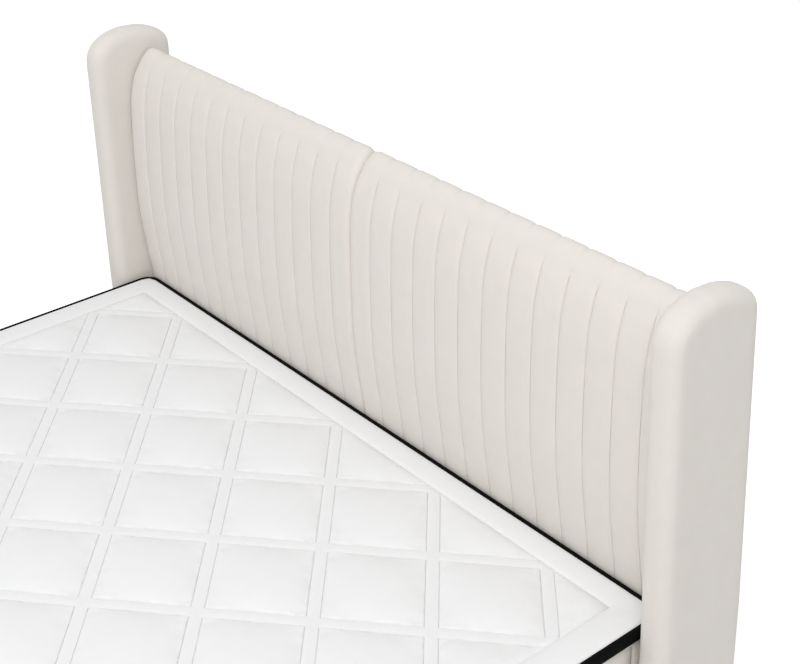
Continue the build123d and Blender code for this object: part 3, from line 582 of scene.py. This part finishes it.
for side, side_name in sides:
    low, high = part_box(f"{side_name}_box_skirt")
    skirt_levels = [(low.z + up, out, 0) for up, out in skirt_hem]
    for k in range(1, skirt_rows):
        skirt_levels.append((low.z + hem_height + skirt_plain * k / skirt_rows, skirt_sink, 0))
    skirt_levels += [(high.z - down, out, 0) for down, out in skirt_fold]
    middle, half = footprint(low, high)
    skirt = wrap(
        f"{side_name}_box_upholstery", middle, half, box_corner, (1, 1), skirt_columns, skirt_levels
    )
    dress(skirt, upholstery, "root", "upholstery", f"{side_name}_box_skirt", fill=1.0)

    # The top cloth is dark fleece sewn to the skirt's fold, and lies on the foam.
    top_low, top_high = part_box(f"{side_name}_box_top_cloth")
    top_x = top_high.x - top_low.x - 2 * fold_inset
    top_y = top_high.y - top_low.y - 2 * fold_inset
    top, unit = new_grid(f"{side_name}_box_top_sheet", sheet_columns, sheet_rows)
    unit -= 0.5
    swell = np.cos(unit[:, :2] * math.pi * sheet_swells).prod(1) * sheet_swell
    by_edge = (np.abs(unit[:, :2]).max(1) - drop_start) / drop_width
    edge_drop = np.clip(by_edge, 0, 1) * sheet_drop
    flat = middle + unit[:, :2] * (top_x, top_y)
    put(top, np.column_stack((flat, top_high.z - sheet_sink + swell - edge_drop)))
    dress(top, dark_fleece, "root", "cloth", f"{side_name}_box_top_cloth")

    # The dust cloth is dark fleece stapled flat under the frame, with a slight sag between staples.
    dust_low, dust_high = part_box(f"{side_name}_box_dust_cloth")
    dust_x = dust_high.x - dust_low.x - 2 * dust_inset
    dust_y = dust_high.y - dust_low.y - 2 * dust_inset
    dust, unit = new_grid(f"{side_name}_box_dust_sheet", sheet_columns, sheet_rows)
    unit -= 0.5
    belly = (1 - (2 * unit[:, 0]) ** 4) * (1 - (2 * unit[:, 1]) ** 8) * dust_sag
    by_staples = np.exp(-(0.5 - np.abs(unit[:, 0])) * 40)
    scallop = np.abs(np.sin(unit[:, 1] * math.pi * staple_gaps)) * by_staples * staple_dip
    flat = footprint(dust_low, dust_high)[0] + unit[:, :2] * (dust_x, dust_y)
    put(dust, np.column_stack((flat, dust_low.z + dust_lap - belly - scallop)))
    turn_over(dust)
    dress(dust, dark_fleece, "root", "cloth", f"{side_name}_box_dust_cloth")


# Headboard: a deep lower box and shallow upper frame, covered in the same cloth. The lower panel
# and the back are cloth over thin wadding on board, each with a seam up its middle.
seam_width = 0.0026
seam_depth = 0.0030
cloth_steps = 20
pad_edge = 0.05
front_padding = 0.0012
front_spans = 14
back_padding = 0.0020
back_spans = 24


def sew(piece, marked, width=seam_width, depth=seam_depth):
    """Makes the marked edges a narrow sewn groove; depth is one number, or one for each point."""
    edges = np.nonzero(marked)[0]
    seam_points = np.unique(edge_ends(piece)[edges])
    co = places(piece)
    depth = np.broadcast_to(depth, len(co))
    normal = read(piece.data.vertex_normals, "vector")
    finder = kdtree.KDTree(len(seam_points))
    for v in seam_points:
        finder.insert(co[v], int(v))
    finder.balance()
    pick(piece, "EDGE", edges)
    bpy.ops.mesh.bevel(offset=width / 2, segments=2, affect="EDGES", clamp_overlap=True)
    done()
    co = places(piece)
    for n in range(len(co)):
        spot, v, gap = finder.find(co[n])
        if gap < width / 3:
            co[n] = np.array(spot) - normal[v] * depth[v]
    put(piece, co)


def inflate(piece, held, pressure, reach, slack=0.0):
    """Blows the cloth up between its held points, keeping each point within reach of its start."""
    start = places(piece)
    group = piece.vertex_groups.new(name="held")
    group.add(np.nonzero(held)[0].tolist(), 1.0, "REPLACE")
    cloth = piece.modifiers.new("cloth", "CLOTH")
    cloth.settings.quality = 4
    cloth.settings.mass = 0.3
    cloth.settings.vertex_group_mass = "held"
    cloth.settings.use_pressure = True
    cloth.settings.uniform_pressure_force = pressure
    cloth.settings.shrink_min = -slack
    cloth.settings.effector_weights.gravity = 0
    cloth.collision_settings.use_collision = False
    for step in range(1, cloth_steps + 1):
        bpy.context.scene.frame_set(step)
    select_only(piece)
    bpy.ops.object.modifier_apply(modifier="cloth")
    bpy.context.scene.frame_set(1)
    piece.vertex_groups.clear()
    moved = places(piece) - start
    far = np.linalg.norm(moved, axis=1, keepdims=True)
    put(piece, start + moved * np.minimum(1, reach / np.maximum(far, 1e-9)))
    piece.select_set(False)


wing_lean_start = 0.60
wing_lean = 0.0235
wing_face_x = 0.9115


def wing_face(z):
    """How far from the middle the wings' inner faces are at this height: they lean over the bed."""
    return wing_face_x - np.clip(z - wing_lean_start, 0, None) * wing_lean


def pick_rims(piece):
    """Goes into edit mode with the piece's open rims selected."""
    pick(piece, "EDGE", [])
    bpy.ops.mesh.select_non_manifold()


def face_outwards():
    """Makes all the faces point outwards, and leaves edit mode."""
    bpy.ops.mesh.select_all(action="SELECT")
    bpy.ops.mesh.normals_make_consistent(inside=False)
    done()


def cap_ends(piece):
    """Closes the piece's open rims with one face each."""
    pick_rims(piece)
    bpy.ops.mesh.fill_holes(sides=0)
    face_outwards()


def covered_board(name, profile, fullness, columns=60, side_round=0.006):
    """Cloth round a board of one profile, a closed loop of (y, z) seen from the right.

    It reaches from wing to wing, and fullness is how far the wadding lifts the cloth off the board.
    """
    loop = np.array(profile)
    rows = len(loop)
    board, unit = new_grid(name, columns, rows)
    row = np.rint(unit[:, 1] * rows).astype(int) % rows
    ahead = loop[(row + 1) % rows] - loop[row - 1]
    out = np.stack((ahead[:, 1], -ahead[:, 0]), 1)
    out /= np.linalg.norm(out, axis=1, keepdims=True)
    half_width = wing_face(loop[row, 1])
    x = (2 * unit[:, 0] - 1) * half_width
    from_side = np.minimum((half_width - np.abs(x)) / pad_edge, 1)
    lift = fullness[row] * (1 - (1 - from_side) ** 2)
    tuck = np.clip(1 - (half_width - np.abs(x)) / side_round, 0, 1) ** 2 * side_round * 0.4
    yz = loop[row] + out * (lift - tuck)[:, None]
    put(board, np.column_stack((x, yz)))
    weld(board)
    cap_ends(board)
    return board


def middle_seam(piece, face_y, behind):
    """Sews a seam up the middle of the piece's front or back face."""
    co = places(piece)
    ends = edge_ends(piece)
    upright = (np.abs(co[ends][:, :, 0]) < 1e-4).all(1)
    edge_y = co[ends][:, :, 1].mean(1)
    facing = edge_y > face_y if behind else edge_y < face_y
    rise = np.abs(co[ends[:, 0], 2] - co[ends[:, 1], 2]) > 0.004
    sew(piece, upright & facing & rise)


def spread(a, b, count):
    """Points from a up to, but not with, b."""
    return [tuple(p) for p in np.linspace(a, b, count, endpoint=False)]


panel_low, panel_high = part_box("headboard_lower_panel")
front_y, back_y = panel_low.y + 0.0015, panel_high.y
bottom_z, top_z = panel_low.z, panel_high.z
profile = [
    *spread((front_y, top_z - 0.004), (front_y, bottom_z + 0.004), front_spans),
    (front_y, bottom_z + 0.004), (front_y + 0.004, bottom_z),
    (back_y, bottom_z), (back_y, top_z), (front_y + 0.004, top_z),
]
full = np.zeros(len(profile))
full[1:front_spans] = front_padding
lower_panel = covered_board("headboard_lower_upholstery", profile, full)
middle_seam(lower_panel, front_y + 0.001, behind=False)
dress(lower_panel, upholstery, "root", "upholstery", "headboard_lower_panel", fill=1.0)

cover_low, cover_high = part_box("headboard_back_cover")
skin = 0.005
back_y, top_z, bottom_z, fold_y = cover_high.y, cover_high.z, cover_low.z, cover_low.y
profile = [
    (back_y - skin, bottom_z), (back_y - 0.001, bottom_z),
    *spread((back_y - 0.0005, bottom_z + 0.002), (back_y - 0.0005, top_z - 0.009), back_spans),
    (back_y - 0.001, top_z - 0.006), (back_y - 0.003, top_z - 0.0025),
    (back_y - 0.007, top_z - 0.0005), *spread((back_y - 0.012, top_z), (fold_y, top_z), 3),
    (fold_y, top_z), (fold_y, top_z - skin), (back_y - skin - 0.002, top_z - skin),
    (back_y - skin, top_z - skin - 0.002),
]
full = np.zeros(len(profile))
full[3:2 + back_spans] = back_padding
back_cover = covered_board("headboard_back_upholstery", profile, full)
middle_seam(back_cover, back_y - 0.003, behind=True)
dress(back_cover, upholstery, "root", "upholstery", "headboard_back_cover", fill=1.0)


# Wings: a plywood core in thick foam, wrapped front to back in one piece of cloth that is drawn
# tight over rolled edges and a low arched top, and joined by a seam down the back edge.
head_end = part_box("headboard_lower_panel")[0].y
wing_front = head_end - 0.0965
wing_back = head_end + 0.1285
wing_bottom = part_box("left_wing_cover")[0].z
wing_top = 1.2682
wing_girth = 0.0675
wing_roll = 0.028
wing_rake = 0.015
rake_reach = 0.12
wing_gap = 0.001
wing_rows = 50
front_corner = 0.105
back_corner = 0.075
corner_squareness = 5.0
top_arch = 0.035
voxel = 0.007


def corner_arc(share, radius):
    """A corner squarer than a circle's, as (along, up) from where it starts to where it ends."""
    turn = share * math.pi / 2
    along = radius * (1 - np.cos(turn) ** (2 / corner_squareness))
    return along, radius * np.sin(turn) ** (2 / corner_squareness)


def outward_of(loop):
    """Which way is outwards at each point of a closed loop."""
    run = np.roll(loop, -1, 0) - np.roll(loop, 1, 0)
    return np.stack((-run[:, 1], run[:, 0]), 1) / np.linalg.norm(run, axis=1, keepdims=True)


turns = np.linspace(0, 1, 26)
across, up = corner_arc(turns, front_corner)
front_run = np.stack((wing_front + across, wing_top - front_corner + up), 1)
across, up = corner_arc(turns[::-1], back_corner)
back_run = np.stack((wing_back - across, wing_top - back_corner + up), 1)
climb = np.linspace(wing_bottom, wing_top - front_corner, wing_rows, endpoint=False)
fall = np.linspace(wing_top - back_corner, wing_bottom, wing_rows)[1:]
base = np.linspace(wing_back, wing_front, 12)[1:-1]
side_view = np.concatenate((
    np.stack((np.full(len(climb), wing_front), climb), 1), front_run, back_run,
    np.stack((np.full(len(fall), wing_back), fall), 1),
    np.stack((base, np.full(len(base), wing_bottom)), 1),
))
crest_share = np.clip((side_view[:, 1] - wing_top + front_corner) / front_corner, 0, 1)
from_middle = (side_view[:, 0] - (wing_front + wing_back) / 2) / ((wing_back - wing_front) / 2)
side_view[:, 1] -= top_arch * crest_share * from_middle ** 2
outward = outward_of(side_view)
at_floor = side_view[:, 1] < wing_bottom + 1e-5
outward[at_floor, 1] = 0
outward[at_floor, 0] = np.where(np.abs(from_middle) > 0.999, np.sign(from_middle), 0)[at_floor]
roll_turns = np.linspace(0, math.pi / 2, 9)
inset = wing_roll * (1 - np.cos(roll_turns))
face_gap = wing_roll * (1 - np.sin(roll_turns))
stations = list(zip(face_gap[::-1], inset[::-1]))
stations += zip(wing_girth - face_gap, inset)
for side, side_name in sides:
    loop = len(side_view)
    wing, unit = new_grid(f"{side_name}_wing", len(stations) - 1, loop)
    station = np.rint(unit[:, 0] * (len(stations) - 1)).astype(int)
    step = np.rint(unit[:, 1] * loop).astype(int) % loop
    along, drawn_in = np.array(stations)[station].T
    yz = side_view[step] - outward[step] * drawn_in[:, None]
    put(wing, np.column_stack((side * (wing_face_x + wing_gap + along), yz)))
    weld(wing)
    cap_ends(wing)
    wing.data.remesh_voxel_size = voxel
    wing.data.use_remesh_preserve_volume = True
    select_only(wing)
    bpy.ops.object.voxel_remesh()
    co = places(wing)
    floor_line = co[:, 2] < wing_bottom + voxel * 0.7
    co[floor_line, 2] = wing_bottom
    put(wing, co)
    middle_x = side * (wing_face_x + wing_gap + wing_girth / 2)
    seam_line = (np.abs(co[:, 0] - middle_x) < voxel * 0.6) & (co[:, 1] > wing_back - voxel)
    inflate(wing, floor_line | seam_line, pressure=2.0, reach=0.0020, slack=0.01)
    co = places(wing)
    above = np.clip(co[:, 2] - wing_lean_start, 0, None)
    co[:, 0] -= side * above * wing_lean
    co[:, 1] += above * wing_rake * np.clip((wing_front + rake_reach - co[:, 1]) / rake_reach, 0, 1)
    put(wing, co)
    dress(wing, upholstery, "root", "upholstery", f"{side_name}_wing_cover", fill=0.95)


# Channel cushions: two upholstered pads of foam on plywood, side by side on the headboard. Each
# has thirteen sewn upright channels, nearly flat between their seams, that roll over the top and
# tuck in below.
channel_count = 13
channel_columns = 10
column_pull = 0.45
channel_swell = 0.0032
channel_flatness = 5
channel_edge = 0.7
end_squeeze = 1.7
end_roll = 0.008
crown_end_roll = 0.022
crown_height = 0.032
crown_fade = 0.024
crest_swell = 1.35
seam_end = 0.026
seam_fade = 0.014
middle_gap = 0.0004
wing_side_gap = 0.0008

# The seam line from the bottom up over the crown to the back, as (place behind the boxes' head end,
# height over the topper), each stretch a Bezier with its two handles, and rows per stretch
cushion_back = 0.078
cushion_foot = -0.080
cushion_start = (0.030, cushion_foot)
cushion_line = (
    ((0.030, -0.060), (0.030, -0.045), (0.028, -0.035), 4),
    ((0.028, -0.024), (0.0018, -0.030), (0.0015, -0.010), 9),
    ((0.0008, 0.035), (-0.0150, 0.130), (-0.0172, 0.215), 25),
    ((-0.0172, 0.320), (-0.0130, 0.420), (-0.0070, 0.480), 28),
    ((-0.0006, 0.534), (0.0240, 0.6100), (0.0540, 0.6120), 20),
    ((0.0660, 0.6125), (cushion_back, 0.6030), (cushion_back, 0.5840), 9),
)


def line_points(start, stretches):
    """Points along a chain of Bezier stretches."""
    found, knot = [start], start
    for *handles, end, rows in stretches:
        run = interpolate_bezier(*map(Vector, (knot, *handles, end)), rows + 1)
        found += [tuple(p[:2]) for p in run[1:]]
        knot = end
    return found


topper_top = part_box("topper_side_band")[1].z
back_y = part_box("left_channel_panel")[1].y
front_rows = line_points(cushion_start, cushion_line)
back_rows = [(cushion_back, z) for z in np.linspace(0.545, cushion_foot, 9)]
back_rows += [(0.054, cushion_foot)]
line = np.array(front_rows + back_rows) + np.array((back_y - cushion_back, topper_top))
rows = len(line)
shows = np.arange(rows) < len(front_rows)
crest = line[:, 1].max()
outward = outward_of(line)
from_crest = crest - line[:, 1]
at_crown = np.clip(1 - (from_crest - crown_height) / crown_fade, 0, 1)
over_crest = np.clip((np.arange(rows) - line[:, 1].argmax() + 3) / 4, 0, 1)
fullness = np.clip((line[:, 1] - topper_top + 0.01) / 0.06, 0.6, 1) * shows
fullness *= 1 - at_crown * (1 - crest_swell * over_crest)
ease = 1 - np.clip(1 - (from_crest - seam_end) / seam_fade, 0, 1)
roll = end_roll + (crown_end_roll - end_roll) * np.clip(1 - from_crest / 0.08, 0, 1)
for side, side_name in sides:
    columns = channel_count * channel_columns
    cushion, unit = new_grid(f"{side_name}_channel_cushion", columns, rows)
    level = np.rint(unit[:, 1] * rows).astype(int) % rows
    column = np.rint(unit[:, 0] * columns).astype(int)
    part = column / channel_columns
    part -= np.sin(2 * math.pi * part) / (2 * math.pi) * column_pull
    part = np.where(part < 1, part ** end_squeeze, part)
    last = channel_count - (channel_count - part) ** end_squeeze
    part = np.where(part > channel_count - 1, last, part)
    seat = line[level]
    width = wing_face(seat[:, 1]) - wing_side_gap - middle_gap
    from_end = np.minimum(part, channel_count - part) / channel_count * width
    curl = np.clip(1 - from_end / roll[level], 0, 1)
    drop = roll[level] * (1 - np.sqrt(1 - curl ** 2)) * shows[level]
    rise = np.clip(1 - np.abs(2 * (part % 1) - 1) ** channel_flatness, 0, 1) ** channel_edge
    out = channel_swell * rise * fullness[level] - drop
    x = side * (middle_gap + width * part / channel_count)
    spots = np.column_stack((x, seat + outward[level] * out[:, None]))
    put(cushion, spots)
    weld(cushion, 0.000001)
    if side < 0:
        turn_over(cushion)
    # Which column and row each point is in, now that the loop is closed
    finder = kdtree.KDTree(len(spots))
    for n, spot in enumerate(spots):
        finder.insert(spot, n)
    finder.balance()
    match = np.array([finder.find(p)[1] for p in places(cushion)])
    column, level = column[match], level[match]
    on_seam = column % channel_columns == 0
    held = (on_seam & (ease[level] > 0.5)) | ~shows[level] | (level == 0)
    inflate(cushion, held, pressure=1.2, reach=0.0012)
    ends = edge_ends(cushion)
    same = column[ends[:, 0]] == column[ends[:, 1]]
    inner = on_seam[ends[:, 0]] & (column[ends[:, 0]] > 0) & (column[ends[:, 0]] < columns)
    one_row = np.abs(level[ends[:, 0]] - level[ends[:, 1]]) == 1
    sewn = same & inner & shows[level[ends]].all(1) & one_row
    sew(cushion, sewn, depth=seam_depth * ease[level])
    cap_ends(cushion)
    dress(cushion, upholstery, "root", "upholstery", f"{side_name}_channel_panel", fill=0.9)


# Mattress border: cream cloth sewn in upright channels over wadding, closed above and below by a
# bound tape edge, round the springs and foams.
border_channels = (25, 28)
border_columns = 10
border_swell = 0.0055
border_rows = 20
border_inset = 0.006
border_corner = 0.030
corner_clear = 0.7
tape_height = 0.0095
tape_edge = (
    (0.0012, -0.0120), (0.0002, -0.0060), (0.0002, -0.0010), (0.0018, 0.0028), (0.0048, 0.0042),
    (0.0078, 0.0028), (tape_height, -0.0012),
)
low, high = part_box("mattress_border")
middle, half = footprint(low, high)
base_half = half - border_inset
border_levels = [(low.z + up, out, 0) for up, out in tape_edge]
wall_low = low.z + tape_height
wall_high = high.z - tape_height
for k in range(1, border_rows):
    share = k / border_rows
    full = min(1.0, (1 - abs(2 * share - 1)) * 4) ** 0.5
    border_levels.append((wall_low + (wall_high - wall_low) * share, 0.0, full))
lower_tape = border_levels[len(tape_edge) - 1::-1]
border_levels += [(low.z + high.z - z, out, full) for z, out, full in lower_tape]


def border_swelling(share):
    """How far a border channel swells at this share of the way across it."""
    return border_swell * np.clip(1 - np.abs(2 * share - 1) ** 2.2, 0, 1) ** 0.6


border = wrap(
    "mattress_border_cloth", middle, base_half, border_corner, border_channels, border_columns,
    border_levels, shape=border_swelling,
)
co = places(border)
ends = edge_ends(border)
upright = np.abs(co[ends[:, 0], 2] - co[ends[:, 1], 2]) > 0.004
on_wall = (co[:, 2] > wall_low - 1e-4) & (co[:, 2] < wall_high + 1e-4)
flat = co[:, :2] - middle
channel = (flat + base_half) / (2 * base_half / border_channels)
facing_x, facing_y = (np.abs(np.abs(flat) - base_half) < 0.0005).T
on_line_x, on_line_y = (np.abs(channel - np.rint(channel)) < 0.01).T
at_seam = (facing_y & on_line_x) | (facing_x & on_line_y)
from_corner = np.minimum(channel, border_channels - channel)
clear_x, clear_y = (from_corner > corner_clear).T
inside_corner = np.where(facing_x, clear_y, clear_x)
chosen = upright & (at_seam & inside_corner & on_wall)[ends].all(1)
held = at_seam | (co[:, 2] < wall_low + 1e-4) | (co[:, 2] > wall_high - 1e-4)
inflate(border, held, pressure=2.0, reach=0.0015, slack=0.01)
sew(border, chosen, width=0.0024, depth=0.0022)
dress(border, upholstery, "mattress", "upholstery", "mattress_border", fill=0.95)


# Mattress and topper panels: white knit quilted to thin wadding in large squares. They are sewn to
# the mattress border above and below, and to the topper's side band below.
knit_white = (0.830, 0.833, 0.840, 1)
knit = cloth_material(
    "white_knit", knit_white, thread=0.0016, mottle=0.03, roughness=0.92, relief=0.00022, sheen=0.10
)
panel_corner = 0.020
panel_cell = 0.0123
panel_square = 0.148
panel_dip = 0.0030
stitch_spread = 0.010
edge_spread = 0.008
panel_lap = 0.0004


def draw_out(piece):
    """Extrudes the selected rim; returns all the points, and which of them are the new ones."""
    bpy.ops.mesh.extrude_region_move()
    bpy.ops.object.mode_set(mode="OBJECT")
    return places(piece), read(piece.data.vertices, "select", 1, bool)[:, 0]


def place_rim(piece, co):
    """Puts the points there, and goes back into edit mode with the rim still selected."""
    put(piece, co)
    bpy.ops.object.mode_set(mode="EDIT")


def close_rim():
    """Closes the selected rim with one face."""
    bpy.ops.mesh.edge_face_add()
    face_outwards()


def quilted_slab(name, low, high, upward, body, replaced):
    """A thin knit panel, quilted in squares on its face that shows."""
    middle, half = footprint(low, high)
    columns, rows = (int(n) for n in 2 * half / panel_cell)
    slab, unit = new_grid(name, columns, rows)
    flat = (unit[:, :2] - 0.5) * 2 * half
    arm = np.abs(flat) - (half - panel_corner)
    beyond = (arm > 0).all(1)
    far = np.linalg.norm(np.clip(arm, 1e-9, None), axis=1)
    pull = np.where(beyond, np.clip(arm, 0, None).max(1) / np.maximum(far, 1e-9), 1)
    rounded = np.sign(flat) * (half - panel_corner + arm * pull[:, None])
    flat = np.where(beyond[:, None], rounded, flat)
    count = np.maximum(np.rint(2 * half / panel_square), 1)
    phase = (flat / (2 * half) + 0.5) * count
    line = np.abs(phase - np.rint(phase)) * panel_square
    dip = panel_dip * np.exp(-(line.min(1) / stitch_spread) ** 1.4)
    edge = (half - np.abs(flat)).min(1)
    dip = np.maximum(dip, panel_dip * np.exp(-(edge / edge_spread) ** 2))
    face_z = high.z - dip if upward else low.z + dip
    put(slab, np.column_stack((middle + flat, face_z)))
    pick_rims(slab)
    co, rim = draw_out(slab)
    co[rim, 2] = low.z + panel_lap if upward else high.z - panel_lap
    place_rim(slab, co)
    close_rim()
    dress(slab, knit, body, "knit", replaced, fill=0.9)


for name, upward, body, node in (
    ("mattress_top_quilt", True, "mattress", "mattress_top_panel"),
    ("mattress_bottom_quilt", False, "mattress", "mattress_bottom_panel"),
    ("topper_bottom_quilt", False, "topper", "topper_bottom_panel"),
):
    quilted_slab(name, *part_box(node), upward, body, node)


# Topper side band: black woven cloth sewn to both panels. The foam fills it out square, so that it
# shows as a black ledge round the white top. It is stretched wider at the head end, where the extra
# black is partly the band's bulge and partly painted shade of the gap against the headboard, and it
# is stretched wider on the left.
low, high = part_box("topper_side_band")
white_half = np.array((0.8970, 0.9875))
white_head = 0.9200
middle = np.array((0.0, white_head - white_half[1]))
band_corner = 0.020
head_spread_and_gap_shade = 0.28
left_spread = 0.45
black = (0.0030, 0.0030, 0.0030, 1)
black_cloth = cloth_material(
    "black_side_band", black, thread=0.0010, mottle=0.4, roughness=0.95, relief=0.00020, sheen=0.0,
    specular=0.10,
)
band_foot = (
    (0.0016, -0.0160), (0.0006, -0.0050), (0.0008, 0.0020), (0.0022, 0.0048), (0.0045, 0.0070),
)
band_ledge = (
    (0.0220, 0.0085), (0.0160, 0.0092), (0.0100, 0.0094), (0.0055, 0.0093), (0.0023, 0.0088),
    (0.0009, 0.0075), (0.0004, 0.0055), (0.0004, 0.0030), (0.0008, 0.0006), (0.0022, -0.0014),
    (0.0045, -0.0080), (0.0060, -0.0160),
)
band_levels = [(low.z + up, out, 0) for up, out in band_foot]
band_levels += [(high.z - down, out, 0) for down, out in band_ledge]
band = wrap("topper_black_band", middle, white_half, band_corner, (1, 1), 200, band_levels)
co = places(band)
# Head end: the wider black ledge is partly painted shade of the gap against the headboard.
co[:, 1] += head_spread_and_gap_shade * np.clip(co[:, 1] - middle[1] - white_half[1], 0, None)
co[:, 0] -= left_spread * np.clip(middle[0] - white_half[0] - co[:, 0], 0, None)
put(band, co)
dress(band, black_cloth, "topper", "black_band", "topper_side_band", fill=0.95)


# Topper top: white knit quilted over wadding in raised diamonds with crisp sewn outlines, parted by
# soft flat strips. A puffed frame with mitred corners borders the field, and a pad's middle meets
# each corner at the head end.
frame_width = np.array((0.0680, 0.0585))
half_strip = 0.06
diamonds_across = 5
diamonds_along = 6.5
pad_cuts = 18
cut_pull = 0.6
pad_rise = 0.0105
strip_rise = 0.0012
frame_rise = 0.0050
frame_ease = 0.030
frame_drop = 0.0020
mitre_width = 0.06
mitre_dip = 0.35
pad_seam = 0.0024
tight = 0.004
rings = (0.024, 0.09, 0.21, 0.36, 0.54, 0.72, 0.85, 0.93, 0.975, 1.0)
turned_edge = ((0.0006, 0.0028), (0.006, 0.0040))
top_z = high.z
field = white_half - frame_width
cell = 2 * field / np.array((diamonds_across, diamonds_along))
head_line = middle[1] + field[1]
spacing = np.linspace(0, 1, pad_cuts + 1)
spacing -= np.sin(2 * math.pi * spacing) / (2 * math.pi) * cut_pull
unit_cuts = np.concatenate(([0.0], half_strip + (1 - 2 * half_strip) * spacing))
per_unit = len(unit_cuts)
spans = math.ceil(diamonds_across + diamonds_along)
cuts = np.concatenate([unit_cuts + n for n in range(spans)] + [[float(spans)]])
quilt, unit = new_grid("topper_quilted_top", spans * per_unit, spans * per_unit)
step = np.rint(unit[:, :2] * spans * per_unit).astype(int)
a = cuts[step[:, 0]]
b = cuts[step[:, 1]] - (spans - diamonds_across - 1)
x = middle[0] - field[0] + (a + b - 1) / 2 * cell[0]
y = head_line - (a - b) / 2 * cell[1]
put(quilt, np.column_stack((x, y, np.full(len(a), top_z))))
pick(quilt, "FACE")
for axis in (0, 1):
    for way in (-1, 1):
        spot = Vector((*middle, top_z))
        spot[axis] += way * field[axis]
        facing = Vector((0, 0, 0))
        facing[axis] = way
        bpy.ops.mesh.select_all(action="SELECT")
        bpy.ops.mesh.bisect(plane_co=spot, plane_no=facing, clear_outer=True, threshold=0.00002)
bpy.ops.mesh.select_all(action="SELECT")
bpy.ops.mesh.remove_doubles(threshold=0.00005)
face_outwards()
if quilt.data.polygons[0].normal.z < 0:
    turn_over(quilt)


def quilting(co):
    """Each point's two diagonal coordinates, which are whole numbers in the strips' middles, what
    they are past a whole number, and how many half strips they are from the nearest one."""
    x = (co[:, 0] - middle[0] + field[0]) / cell[0]
    y = (head_line - co[:, 1]) / cell[1]
    diagonal = np.stack((x + y + 0.5, x - y + 0.5))
    part = diagonal - np.floor(diagonal + 1e-6)
    return diagonal, part, np.minimum(part, 1 - part) / half_strip


def pad_outlines(diagonal, off, inside, ends):
    """Which edges lie along a pad's sewn outline."""
    on_line = (np.abs(off - 1) < tight)[:, ends].all(2)
    along = np.abs(diagonal[:, ends[:, 0]] - diagonal[:, ends[:, 1]]) < tight
    return (on_line & along).any(0) & inside[ends].all(1)


def dome(share, sharpness=2.0, edge=0.85):
    """A pad's height across one way: steep by its seams and flat in its middle."""
    return np.clip(1 - np.abs(2 * np.clip(share, 0, 1) - 1) ** sharpness, 0, 1) ** edge


co = places(quilt)
diagonal, part, off = quilting(co)
share = (part - half_strip) / (1 - 2 * half_strip)
in_field = field - np.abs(co[:, :2] - middle)
by_frame = np.clip(in_field.min(1) / frame_ease, 0, 1)
by_frame = (1 - (1 - by_frame) ** 2.5) ** 0.6
pad = pad_rise * dome(share[0]) * dome(share[1])
strip = strip_rise * (1 - np.clip(off.min(0), 0, 1) ** 2) ** 0.6
inside_pad = ((share > -1e-4) & (share < 1 + 1e-4)).all(0)
co[:, 2] = top_z + np.where(inside_pad, pad, strip) * by_frame
put(quilt, co)
ends = edge_ends(quilt)
held = in_field.min(1) < 1e-4
seams = pad_outlines(diagonal, off, inside_pad, ends) & ~held[ends].all(1)
held[ends[seams]] = True
inflate(quilt, held, pressure=2.0, reach=0.0015, slack=0.01)

# The frame is drawn out from the field's rim in rings.
pick_rims(quilt)
before = 0.0
for ring in rings:
    co, rim = draw_out(quilt)
    flat = co[rim, :2] - middle
    co[rim, :2] = middle + flat * (field + ring * frame_width) / (field + before * frame_width)
    place_rim(quilt, co)
    before = ring
done()
co = places(quilt)
flat = co[:, :2] - middle
out_by = (np.abs(flat) - field) / frame_width
t = np.clip(out_by.max(1), 0, None)
on_frame = t > 1e-4
puff = frame_rise * np.clip(1 - np.abs(2 * t - 1) ** 2.6, 0, 1) ** 0.6
mitre = np.exp(-((out_by[:, 0] - out_by[:, 1]) / mitre_width) ** 2) * (out_by.min(1) > -mitre_width)
puff *= 1 - mitre_dip * mitre
drop = frame_drop * np.clip((t - 0.88) / 0.12, 0, 1) ** 2
radius = band_corner * t
hub = field + t[:, None] * frame_width - radius[:, None]
arm = np.abs(flat) - hub
rounded = on_frame & (arm > 0).all(1)
length = np.linalg.norm(np.clip(arm, 1e-9, None), axis=1)
shift = np.where(rounded, radius / np.maximum(length, 1e-9), 1)
target = np.sign(flat) * (hub + arm * shift[:, None])
flat = np.where(rounded[:, None], target, flat)
co[:, :2] = middle + flat
co[on_frame, 2] = (top_z + puff - drop)[on_frame]
put(quilt, co)

ends = edge_ends(quilt)
out_by = (np.abs(co[:, :2] - middle) - field).max(1)
frame_seam = (np.abs(out_by[ends]) < 1e-5).all(1)
diagonal, part, off = quilting(co)
inside_pad = (off > 1 - tight).all(0) & (out_by < 1e-5)
seams = pad_outlines(diagonal, off, inside_pad, ends) | frame_seam
sew(quilt, seams, width=pad_seam, depth=pad_seam)

# Its edge turns down over the side band and closes below.
pick_rims(quilt)
for inward, down in turned_edge:
    co, rim = draw_out(quilt)
    flat = co[rim, :2] - middle
    co[rim, :2] = middle + flat * (1 - inward / white_half)
    co[rim, 2] = top_z - down
    place_rim(quilt, co)
close_rim()
dress(quilt, knit, "topper", "knit", "topper_quilted_panel", fill=0.8)
